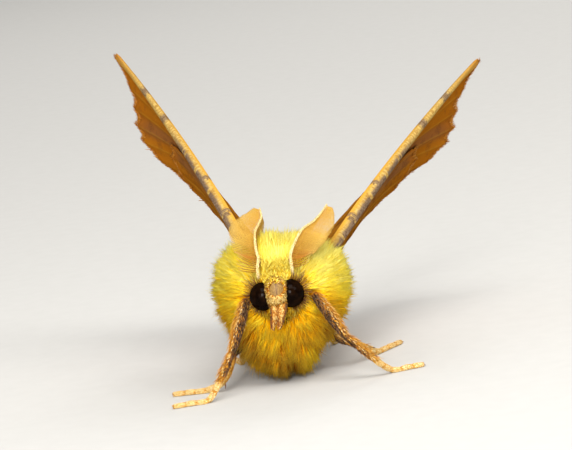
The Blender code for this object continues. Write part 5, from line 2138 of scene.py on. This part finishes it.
@dataclass(frozen=True)
class WingFinish:
    """Ochre scales with brown cross lines, a ringed spot, flecks and a chequered front edge.

    The pattern is laid out on the wing's own plan, whose units are 20 mm: p runs along the
    front edge and q down the chord.

    Attributes:
        name: The material's name.
        lines: The dark lines across the wing.
        spot: Where the ringed spot is on the plan.
        streak: The purple streak below, q = slope p + start: its slope, start and half width.
        blocks: Rows of (p, half width) of the dark blocks across the front edge.
        ground: The ramp of its ochre.
        rust: The colour that it nears outwards.
        apex: The colour of the front edge near the tip.
        golden: The colour of the root, the veins and the front edge seen edge on.
        purple: The colour of the streak.
        line: The colour of the lines, the ring and the short strokes.
        ring: The ring's radius, and how far from it its colour starts and ends to fade.
        pale: The two colours of the upper front edge.
        grey: The two colours of the lower front edge and the blocks.
    """

    name: str
    lines: Sequence[CrossLine]
    spot: tuple
    streak: tuple
    blocks: Sequence = ()
    ground: tuple = ((0.30, (0.155, 0.048, 0.004)), (0.52, (0.26, 0.094, 0.007)),
                     (0.72, (0.40, 0.172, 0.018)))
    rust: tuple = (0.33, 0.102, 0.005)
    apex: tuple = (0.38, 0.205, 0.040)
    golden: tuple = (0.56, 0.29, 0.030)
    purple: tuple = (0.110, 0.058, 0.046)
    line: tuple = (0.075, 0.028, 0.013)
    ring: tuple = (0.012, 0.003, 0.009)
    pale: tuple = ((0.28, 0.155, 0.035), (0.48, 0.33, 0.10))
    grey: tuple = ((0.060, 0.036, 0.032), (0.20, 0.135, 0.09))

    def make(self) -> bpy.types.Material:
        """Lays the pattern over a fine bump of scales.

        Returns:
            The material.
        """
        made, graph, shader = new_material(self.name, 0.7, 0.0)
        plan = graph.wired("ShaderNodeUVMap", {}, uv_map="plan")[0]
        split = graph.wired("ShaderNodeSeparateXYZ", {0: plan})
        p, q = split[0], split[1]
        cloud = graph.noise(plan, 9.0, 4.0, 0.6)
        fine = graph.noise(plan, 220.0, 3.0, 0.6)
        colour = self.membrane(graph, p, q, cloud, fine)
        colour = self.markings(graph, colour, plan, p, q, cloud, fine)
        if self.blocks:
            colour = self.front_edge(graph, colour, plan, p, fine)
        rim = graph.times(graph.attribute("rim"), 0.5)
        graph.plug(graph.mix(rim, colour, self.rust), shader.inputs["Base Color"])
        scales = graph.cells(graph.stretched(plan, (0.55, 1.0, 1.0)), 420.0)["Distance"]
        graph.emboss(shader, graph.less(1.0, scales), 0.000012, 0.7)
        return made

    def membrane(self, graph: Graph, p: object, q: object, cloud: object,
                 fine: object) -> object:
        """The ground: ochre, rusty outwards, golden at the root and purple along a streak.

        Args:
            graph: The material's graph.
            p: The place along the front edge.
            q: The place down the chord.
            cloud: Wide cloudy noise.
            fine: Fine noise.

        Returns:
            The colour.
        """
        mixed = graph.plus(graph.times(cloud, 0.6), graph.times(fine, 0.4))
        colour = graph.ramp(mixed, self.ground)
        outer = graph.fit(graph.plus(p, graph.times(q, 0.35)), 0.52, 0.82)
        colour = graph.mix(graph.times(outer, 0.55), colour, self.rust)
        colour = graph.mix(graph.fit(p, 0.24, 0.04, 0.0, 0.6), colour, self.golden)
        slope, start, half_width = self.streak
        off = graph.apart(graph.less(q, graph.times(p, slope)), start)
        streak = graph.fit(off, half_width * 0.2, half_width, 1.0, 0.0)
        streak = graph.times(streak, graph.attribute("under"))
        streak = graph.times(streak, graph.fit(fine, 0.3, 0.6, 0.4, 1.0))
        return graph.mix(graph.times(streak, 0.75), colour, self.purple)

    def markings(self, graph: Graph, colour: object, plan: object, p: object, q: object,
                 cloud: object, fine: object) -> object:
        """The cross lines, the spot's ring, the short strokes and the paler veins.

        Args:
            graph: The material's graph.
            colour: The colour so far.
            plan: The place on the plan.
            p: The place along the front edge.
            q: The place down the chord.
            cloud: Wide cloudy noise.
            fine: Fine noise.

        Returns:
            The colour with the markings.
        """
        wander = graph.times(graph.less(cloud, 0.5), 0.05)
        drawn = 0.0
        for line in self.lines:
            bent = graph.times(q, graph.plus(graph.times(q, line.curve), line.slant))
            off = graph.apart(graph.plus(graph.plus(p, bent), wander), line.middle)
            drawn = graph.math("MAXIMUM", drawn, graph.fit(off, 0.0, line.half_width, 1.0, 0.0))
        drawn = graph.times(drawn, graph.fit(fine, 0.30, 0.55, 0.35, 1.0))
        colour = graph.mix(graph.times(drawn, 0.75), colour, self.line)
        inputs = {0: plan, 1: (*self.spot, 0.0)}
        away = graph.wired("ShaderNodeVectorMath", inputs, operation="DISTANCE")["Value"]
        ring = graph.fit(graph.apart(away, self.ring[0]), *self.ring[1:], 0.7, 0.0)
        colour = graph.mix(ring, colour, self.line)
        cell = graph.cells(graph.stretched(plan, (1.0, 0.42, 1.0), 0.35), 55.0)["Color"]
        stroke = graph.times(graph.fit(graph.red(cell), 0.74, 0.80),
                             graph.fit(fine, 0.40, 0.60, 0.0, 0.45))
        colour = graph.mix(stroke, colour, self.line)
        return graph.mix(graph.times(graph.attribute("vein"), 0.22), colour, self.golden)

    def front_edge(self, graph: Graph, colour: object, plan: object, p: object,
                   fine: object) -> object:
        """Pale ochre above and broken grey-purple below, with dark blocks across both.

        Args:
            graph: The material's graph.
            colour: The colour so far.
            plan: The place on the plan.
            p: The place along the front edge.
            fine: Fine noise.

        Returns:
            The colour with the front edge.
        """
        wobble = graph.noise(graph.stretched(plan, (0.4, 1.0, 1.0)), 60.0, 3.0, 0.6)
        wobble = graph.less(wobble, 0.5)
        speck = graph.times(graph.less(fine, 0.5), 0.5)
        below = graph.plus(graph.attribute("under"), graph.times(wobble, 0.35))
        below = graph.fit(graph.plus(below, speck), 0.46, 0.66)
        dark = graph.times(below, graph.fit(p, 0.56, 0.46))
        gaps = graph.noise(graph.stretched(plan, (1.0, 0.04, 1.0)), 30.0, 2.0, 0.5)
        dark = graph.times(dark, graph.fit(gaps, 0.62, 0.54, 0.1, 1.0))
        for middle, half_width in self.blocks:
            off = graph.plus(graph.less(p, middle), graph.times(wobble, 0.06))
            off = graph.plus(graph.math("ABSOLUTE", off), graph.times(speck, 0.04))
            block = graph.fit(off, half_width * 0.4, half_width * 1.15, 0.85, 0.0)
            dark = graph.math("MAXIMUM", dark, block)
        pale = graph.mix(graph.fit(fine, 0.35, 0.65), *self.pale)
        edge_on = graph.fit(graph.attribute("under"), 0.42, 0.20, 0.0, 0.75)
        pale = graph.mix(edge_on, pale, self.golden)
        pale = graph.mix(graph.fit(p, 0.74, 0.86, 0.0, 0.85), pale, self.apex)
        grey = graph.mix(graph.fit(fine, 0.3, 0.7), *self.grey)
        edge = graph.mix(graph.times(dark, 0.92), pale, grey)
        return graph.mix(graph.fit(graph.attribute("front"), 0.10, 0.32), colour, edge)


FORE_FINISH = WingFinish(
    "fore wing", (CrossLine(0.60, 0.10, 0.9, 0.016), CrossLine(0.24, -0.45, 1.2, 0.012)),
    (0.44, 0.085), (0.36, -0.075, 0.055),
    ((0.735, 0.022), (0.60, 0.018), (0.33, 0.014), (0.19, 0.010)),
)
HIND_FINISH = WingFinish(
    "hind wing", (CrossLine(0.46, 0.25, 0.6, 0.014),), (0.30, 0.24), (0.10, 0.125, 0.060),
)


@dataclass
class Leg(Assembly):
    """One leg: a scaled femur and tibia, a ringed tarsus that lies flat, spurs and claws.

    The radius along it swells as a power of a sine, once for the femur, once for the tibia and
    once for each piece of the tarsus, and runs smoothly from each to the next.
    """

    name: str
    stations: tuple
    spurs: tuple = ()
    femur_half: float = 0.26
    tibia_half: float = 0.17
    tarsus_half: float = 0.17
    scale_count: int = 2_200
    hairs: int = 70
    paling: tuple = (-0.06, 0.12)
    foot_pieces: int = 5
    sole_height: float = 0.17
    tip_height: float = 0.13
    rings: int = 120
    sides: int = 20
    seed: int = 81

    @property
    def outward(self) -> float:
        """The sign of X on the leg's outer side."""
        return np.sign(self.stations[1][0] - 0.9)

    @cached_property
    def line(self) -> tuple:
        """Even points along the leg's middle, and the shares where its knee and its ankle are.

        Returns:
            The points and the two shares.
        """
        root, knee, ankle, sole, tip = (np.array(p, float) for p in self.stations)
        sole = sole * (1, 1, 0) + (0, 0, self.sole_height)
        tip = tip * (1, 1, 0) + (0, 0, self.tip_height)
        route = [root, knee * 0.9 + root * 0.1, knee * 0.92 + ankle * 0.08, ankle,
                 sole, (sole + tip) / 2, tip]
        points = curve_through(route, self.rings)
        steps = np.concatenate([[0], np.cumsum(np.linalg.norm(np.diff(points, axis=0), axis=1))])
        nearest = [np.linalg.norm(points - p, axis=1).argmin() for p in (knee, ankle)]
        return points, steps[nearest[0]] / steps[-1], steps[nearest[1]] / steps[-1]

    def radii(self, share: Array) -> Array:
        """The leg's radius at each share of its length.

        Args:
            share: Shares of the length.

        Returns:
            One radius a share.
        """
        _, knee, ankle = self.line
        foot = np.clip((share - ankle) / (1 - ankle), 0, 1)
        beads = np.abs(np.sin(math.pi * self.foot_pieces * foot)) ** 0.6
        beads = self.tarsus_half * (0.86 + 0.20 * beads) * (1 - 0.28 * foot)
        thigh = np.clip(share / knee, 0, 1)
        femur = self.femur_half * (0.62 + 0.38 * np.sin(math.pi * thigh) ** 0.8)
        shin = np.clip((share - knee) / (ankle - knee), 0, 1)
        tibia = self.tibia_half * (0.72 + 0.28 * np.sin(math.pi * shin) ** 0.7)
        upper = femur + (tibia - femur) * smooth_step(share, knee - 0.03, knee + 0.03)
        return upper + (beads - upper) * smooth_step(share, ankle - 0.02, ankle + 0.03)

    def build(self, horn: bpy.types.Material) -> None:
        """Makes the leg's skin, its scales, its fringe and its spurs and claws.

        Args:
            horn: The material of claws and spurs.
        """
        rng = np.random.default_rng(self.seed + len(self.name))
        path = self.line[0]
        middle = path[self.rings // 2]
        share = np.linspace(0, 1, len(path))
        radius = self.radii(share)
        bend_way = unit(np.cross(middle - path[0], path[-1] - middle))
        surface = tube(path, radius, radius, bend_way, self.sides)
        along = np.append(np.repeat(share, self.sides), (0.0, 1.0))
        tone = self.tone(along, np.zeros((len(along), 3)))
        above = surface.moved(lambda points: np.maximum(points, (-np.inf, -np.inf, 0.0)))
        above.build(f"{self.name}_skin", self.materials.leg_skin, Slot.LEG, (self.name,),
                    {"tone": tone})
        self.build_scales(surface, rng)
        self.build_hairs(surface, rng)
        self.build_claws(horn)

    def tone(self, share: Array, normals: Array) -> Array:
        """The leg's marking: grey-purple inside, orange-brown outside, a cream ringed foot.

        Args:
            share: The share of the length at each point.
            normals: Their normals.

        Returns:
            One tone a point.
        """
        _, knee, ankle = self.line
        inner = smooth_step(normals[:, 0] * self.outward, 0.22, -0.34)
        foot = np.clip((share - ankle) / (1 - ankle), 0, 1)
        rings = np.abs(np.sin(math.pi * self.foot_pieces * foot))
        foot = smooth_step(share, ankle - 0.04, ankle + 0.03)
        pale = smooth_step(share, knee + self.paling[0], knee + self.paling[1])
        upper = 0.54 + 0.26 * pale - 0.50 * inner * (1 - 0.75 * pale)
        lower = 0.95 - 0.28 * (rings < 0.30)
        return (upper + (lower - upper) * foot).clip(0, 1)

    def build_scales(self, surface: Surface, rng: Rng) -> None:
        """Close flat scales that lie down the leg, mottled light and dark.

        Args:
            surface: The leg's skin.
            rng: The source of random numbers.
        """
        path, _, ankle = self.line
        roots = surface.scatter(self.scale_count, rng)
        share, count = roots.uv[:, 1], len(roots)
        foot = smooth_step(share, ankle - 0.04, ankle + 0.03)
        way = unit(steps_beside(path, roots)) + rng.normal(0, 0.14, (count, 3))
        lie = along_surface(way, roots.normal)
        tone = self.tone(share, roots.normal)
        _, blotch = nearest_seed(roots.place, 0.22, lane=19)
        middle = bump(roots.normal[:, 0] * self.outward, 0.22, 0.36) * (1 - foot)
        tone = tone + (blotch - 0.5) * 0.24 * (1 - foot * 0.6) + rng.normal(0, 0.10, count)
        tone += middle * np.where(rng.random(count) < 0.45, 0.34, -0.26)
        length = (0.24 - 0.12 * foot) * rng.normal(1, 0.15, count).clip(0.6, 1.5)
        width = (0.065 - 0.022 * foot) * rng.normal(1, 0.15, count).clip(0.6, 1.5)
        shape = TuftShape(stations=(0.0, 0.55), taper=(0.75, 1.0), flat=0.3, sink=0.015)
        coat = Tufts(roots, lifted(lie, roots.normal, rng.uniform(0.15, 0.5, count)),
                     lifted(lie, roots.normal, 0.05), length, width, tone, shape)
        coat.build(f"{self.name}_scales", self.materials.leg_scales, Slot.LEG, self.seed)

    def build_hairs(self, surface: Surface, rng: Rng) -> None:
        """Longer hairs that stand off the outer side of the femur and tibia.

        Args:
            surface: The leg's skin.
            rng: The source of random numbers.
        """
        path, _, ankle = self.line

        def weight(_: Array, normals: Array) -> Array:
            """How thickly the hairs stand: most on the outer side."""
            return smooth_step(normals[:, 0] * self.outward, -0.1, 0.6) + 0.05

        roots = surface.scatter(self.hairs, rng, weight)
        roots = roots.kept(roots.uv[:, 1] < ankle)
        count = len(roots)
        way = unit(steps_beside(path, roots)) + rng.normal(0, 0.1, (count, 3))
        lie = along_surface(way, roots.normal)
        tone = 0.56 + rng.normal(0, 0.16, count)
        coat = Tufts(roots, lifted(lie, roots.normal, 0.65), lifted(lie, roots.normal, 0.25),
                     rng.uniform(0.28, 0.52, count), rng.uniform(0.022, 0.036, count), tone,
                     TuftShape(flat=0.7, sink=0.03))
        coat.build(f"{self.name}_hairs", self.materials.leg_scales, Slot.LEG, self.seed + 1)

    def build_claws(self, horn: bpy.types.Material) -> None:
        """Two curved claws at the tip, and a pair of spurs at each place listed on the tibia.

        Args:
            horn: The material of claws and spurs.
        """
        path = self.line[0]
        way = unit(path[-1] - path[-4])
        side = unit(np.cross(way, (0.0, 0.0, 1.0)))
        claw, spur = (0.20, 0.060), (0.62, 0.11)
        rows = [(path[-1] + side * s * 0.05 - way * 0.03,
                 unit(way + side * s * 0.45 + (0, 0, 0.25)),
                 unit(way * 0.3 + side * s * 0.5 + (0, 0, -0.5)), *claw) for s in (-1, 1)]
        knee, ankle = np.array(self.stations[1]), np.array(self.stations[2])
        down = unit(ankle - knee)
        across = unit(np.cross(down, (0.2, 1.0, 0.1)))
        rows += [(knee + (ankle - knee) * at, unit(down + across * s * 0.6),
                  unit(down + across * s * 0.3), *spur) for at in self.spurs for s in (-1, 1)]
        place, first, last, length, width = (np.array(column) for column in zip(*rows))
        count = len(place)
        roots = Roots(place, np.tile((0.0, 0.0, 1.0), (count, 1)), np.zeros((count, 2)))
        shape = TuftShape(stations=(0.0, 0.3, 0.6, 0.85), taper=(1.0, 0.9, 0.65, 0.35), flat=0.9,
                          sides=8, sink=0.03, waver=0.0)
        coat = Tufts(roots, first, last, length, width, np.full(count, 0.3), shape)
        coat.build(f"{self.name}_claws", horn, Slot.LEG, self.seed)


@dataclass(frozen=True)
class Studio:
    """A plain pale floor, soft lamps and the camera at the photograph's angle.

    Attributes:
        azimuth: Where round the moth the camera stands.
        elevation: How high it stands.
        roll: How far it is rolled.
        distance: How far it is from the moth, in metres.
        target: The point that it looks at, in the model's frame in millimetres.
        image_width: The photograph's width in pixels.
        pixel: What a pixel measures at the target, in millimetres.
        sensor: The width of the camera's sensor.
        reach: Half the floor's width, in metres.
        lamp_aim: The point that the lamps face, in metres.
        lamps: Rows of (name, place in metres, size in metres, power, colour).
    """

    azimuth: float = math.radians(4.0)
    elevation: float = math.radians(9.0)
    roll: float = math.radians(8.0)
    distance: float = 0.2
    target: tuple = (-1.017, -5.188, 8.362)
    image_width: int = 572
    pixel: float = 0.0545
    sensor: float = 36.0
    reach: float = 0.6
    lamp_aim: tuple = (-0.0015, -0.004, 0.006)
    lamps: tuple = (
        ("key lamp", (0.03, -0.13, 0.25), 0.16, 0.55, (1.0, 0.98, 0.94)),
        ("side lamp", (0.16, -0.12, 0.16), 0.10, 0.19, (1.0, 0.98, 0.94)),
        ("front lamp", (-0.01, -0.29, 0.12), 0.10, 0.92, (1.0, 0.98, 0.95)),
        ("low lamp", (-0.05, -0.28, 0.03), 0.26, 0.40, (1.0, 0.98, 0.95)),
        ("back lamp", (0.05, 0.24, 0.20), 0.14, 0.30, (1.0, 0.98, 0.95)),
    )

    def axes(self) -> tuple:
        """The camera's right, up and backward ways.

        Returns:
            The three ways, each of length one.
        """
        az, el = self.azimuth, self.elevation
        back = Vector((math.sin(az) * math.cos(el), -math.cos(az) * math.cos(el), math.sin(el)))
        level = Vector((math.cos(az), math.sin(az), 0.0))
        up = back.cross(level)
        cos, sin = math.cos(self.roll), math.sin(self.roll)
        return level * cos - up * sin, up * cos + level * sin, back

    def build_camera(self) -> None:
        """Makes the camera whose picture is image_width pixels of this size wide."""
        right, up, back = self.axes()
        data = bpy.data.cameras.new("camera")
        data.sensor_width = self.sensor
        data.lens = self.sensor * self.distance / (self.image_width * self.pixel * MM)
        data.clip_start = 0.001
        camera = bpy.data.objects.new("camera", data)
        turn = Matrix((right, up, back)).transposed().to_4x4()
        place = Vector(self.target) * MM + back * self.distance
        camera.matrix_world = Matrix.Translation(place) @ turn
        bpy.context.scene.collection.objects.link(camera)
        bpy.context.scene.camera = camera

    def build_floor(self) -> None:
        """A wide plain floor with a barely visible grain."""
        mesh = bpy.data.meshes.new("floor")
        ends = ((-1, -1), (1, -1), (1, 1), (-1, 1))
        corners = [(x * self.reach, y * self.reach, 0) for x, y in ends]
        mesh.from_pydata(corners, [], [(0, 1, 2, 3)])
        floor = bpy.data.objects.new("floor", mesh)
        bpy.context.scene.collection.objects.link(floor)
        made, graph, shader = new_material("pale floor", 0.85)
        grain = graph.noise(graph.place(), 900.0, 3.0)
        colour = graph.mix(grain, (0.50, 0.495, 0.48), (0.54, 0.535, 0.52))
        graph.plug(colour, shader.inputs["Base Color"])
        mesh.materials.append(made)
        floor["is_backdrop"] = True

    def build_lamp(self, name: str, place: tuple, size: float, power: float,
                   colour: tuple) -> None:
        """A square soft lamp that faces the middle of the moth.

        Args:
            name: Its name.
            place: Where it stands, in metres.
            size: Its side.
            power: Its power in watts.
            colour: Its colour.
        """
        data = bpy.data.lights.new(name, "AREA")
        data.size, data.energy, data.color = size, power, colour
        lamp = bpy.data.objects.new(name, data)
        lamp.location = place
        aim = Vector(place) - Vector(self.lamp_aim)
        lamp.rotation_euler = aim.to_track_quat("Z", "Y").to_euler()
        bpy.context.scene.collection.objects.link(lamp)

    def build(self) -> None:
        """Makes the camera, the floor, the lamps and the plain surroundings."""
        self.build_camera()
        self.build_floor()
        for lamp in self.lamps:
            self.build_lamp(*lamp)
        world = bpy.data.worlds.new("surroundings")
        world.use_nodes = True
        sky = world.node_tree.nodes["Background"]
        sky.inputs["Color"].default_value = (0.90, 0.89, 0.87, 1.0)
        sky.inputs["Strength"].default_value = 0.52
        bpy.context.scene.world = world
        bpy.context.scene.view_settings.view_transform = "Standard"


# The feelers' shafts from root to tip, and the ways of their two rows, in the body frame.
ANTENNA_ROUTES = {
    Side.LEFT: (
        (0.74, -3.18, 6.30), (0.66, -3.30, 6.9), (0.60, -3.05, 7.35), (0.75, -2.5, 7.85),
        (1.14, -1.3, 8.45), (1.72, -0.2, 8.75), (2.08, 0.7, 9.05), (2.37, 1.5, 9.35),
    ),
    Side.RIGHT: (
        (-1.10, -3.15, 6.05), (-1.18, -3.30, 6.65), (-1.15, -3.05, 7.15), (-1.32, -2.5, 7.65),
        (-1.42, -1.3, 8.25), (-1.27, -0.2, 8.55), (-1.18, 0.7, 8.8), (-1.31, 1.5, 9.1),
    ),
}
COMB_WAYS = {
    Side.LEFT: ((0.90, -0.15, -0.42), (-0.10, 0.80, -0.50)),
    Side.RIGHT: ((-0.95, -0.15, 0.18), (0.10, 0.80, -0.50)),
}

# The front edge's ends in the body frame, and how far each hind wing is from its fore wing.
WING_ROOTS = {Side.LEFT: (2.05, 0.5, 6.1), Side.RIGHT: (-1.6, 0.5, 6.3)}
WING_TIPS = {Side.LEFT: (10.7, 13.1, 16.2), Side.RIGHT: (-10.35, 13.1, 16.4)}
HIND_OPENING = {Side.LEFT: 0.55, Side.RIGHT: 0.45}

# Legs in the floor frame: root, knee, foot of the tibia, sole and tip of the tarsus.
LEG_STATIONS = {
    "foreleg_right": ((-1.15, -2.5, 5.0), (-2.1, -4.0, 2.62), (-3.0, -4.25, 1.1),
                      (-3.75, -4.5, 0.3), (-5.6, -4.9, 0.17)),
    "foreleg_left": ((2.55, -2.5, 4.85), (3.95, -3.7, 2.6), (5.35, -3.3, 1.0),
                     (6.2, -2.6, 0.24), (7.85, -2.0, 0.17)),
    "midleg_right": ((-1.8, -0.6, 2.5), (-2.3, -1.1, 1.9), (-3.0, -1.9, 0.62),
                     (-4.0, -1.75, 0.2), (-5.85, -1.6, 0.17)),
    "midleg_left": ((2.95, 0.1, 2.2), (3.85, 0.3, 1.45), (4.8, 2.0, 0.60), (5.25, 3.0, 0.2),
                    (6.5, 5.1, 0.17)),
    "hindleg_right": ((-1.1, 2.0, 2.5), (-2.6, 3.4, 2.3), (-2.35, 4.3, 0.7),
                      (-2.5, 4.9, 0.2), (-3.2, 6.5, 0.17)),
    "hindleg_left": ((2.1, 2.3, 2.3), (3.0, 4.4, 2.0), (2.6, 6.7, 0.7), (2.7, 7.5, 0.2),
                     (3.0, 9.3, 0.17)),
}

# How far the fur of the thorax keeps from the femora and from the tibiae.
LEG_CLEARANCE = (0.30, 0.26)
LEG_KINDS = {
    "fore": {"hairs": 440, "paling": (0.0, 0.34)},
    "mid": {"spurs": (0.95,)},
    "hind": {"spurs": (0.60, 0.95)},
}


def main() -> None:
    """Builds every piece of the moth, then the studio."""
    logging.basicConfig(level=logging.INFO, format="%(name)s: %(message)s")
    materials = Materials()
    Studio().build()
    skin = BodySkin()
    surface = skin.build(materials)
    legs = [Capsule(stations[k], stations[k + 1], radius)
            for k, radius in enumerate(LEG_CLEARANCE) for stations in LEG_STATIONS.values()]
    ThoraxCoat(materials, skin).build(surface, legs)
    AbdomenCoat(materials, skin).build(surface)
    eyes = [Eye(side) for side in Side]
    gloss = EyeFinish().make()
    for eye in eyes:
        eye.build(gloss)
    Face(materials).build(surface, eyes)
    fore_blade, hind_blade = FORE_FINISH.make(), HIND_FINISH.make()
    for side in Side:
        Palp(materials, side).build()
        Antenna(materials, side, ANTENNA_ROUTES[side], COMB_WAYS[side]).build()
        ends = WING_ROOTS[side], WING_TIPS[side]
        Wing(materials, side, FORE_PLAN, *ends).build(fore_blade)
        Wing(materials, side, HIND_PLAN, *ends, HIND_OPENING[side]).build(hind_blade)
    horn = HornFinish().make()
    for name, stations in LEG_STATIONS.items():
        kind = LEG_KINDS[name.split("leg")[0]]
        Leg(materials, name, stations, **kind).build(horn)
    boxes = [[list(corner) for corner in box] for box in (CAD_BOX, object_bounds())]
    {"cad": boxes[0], "visual": boxes[1]}
    LOG.info("boxes: %s", boxes)


if __name__ == "__main__":
    main()
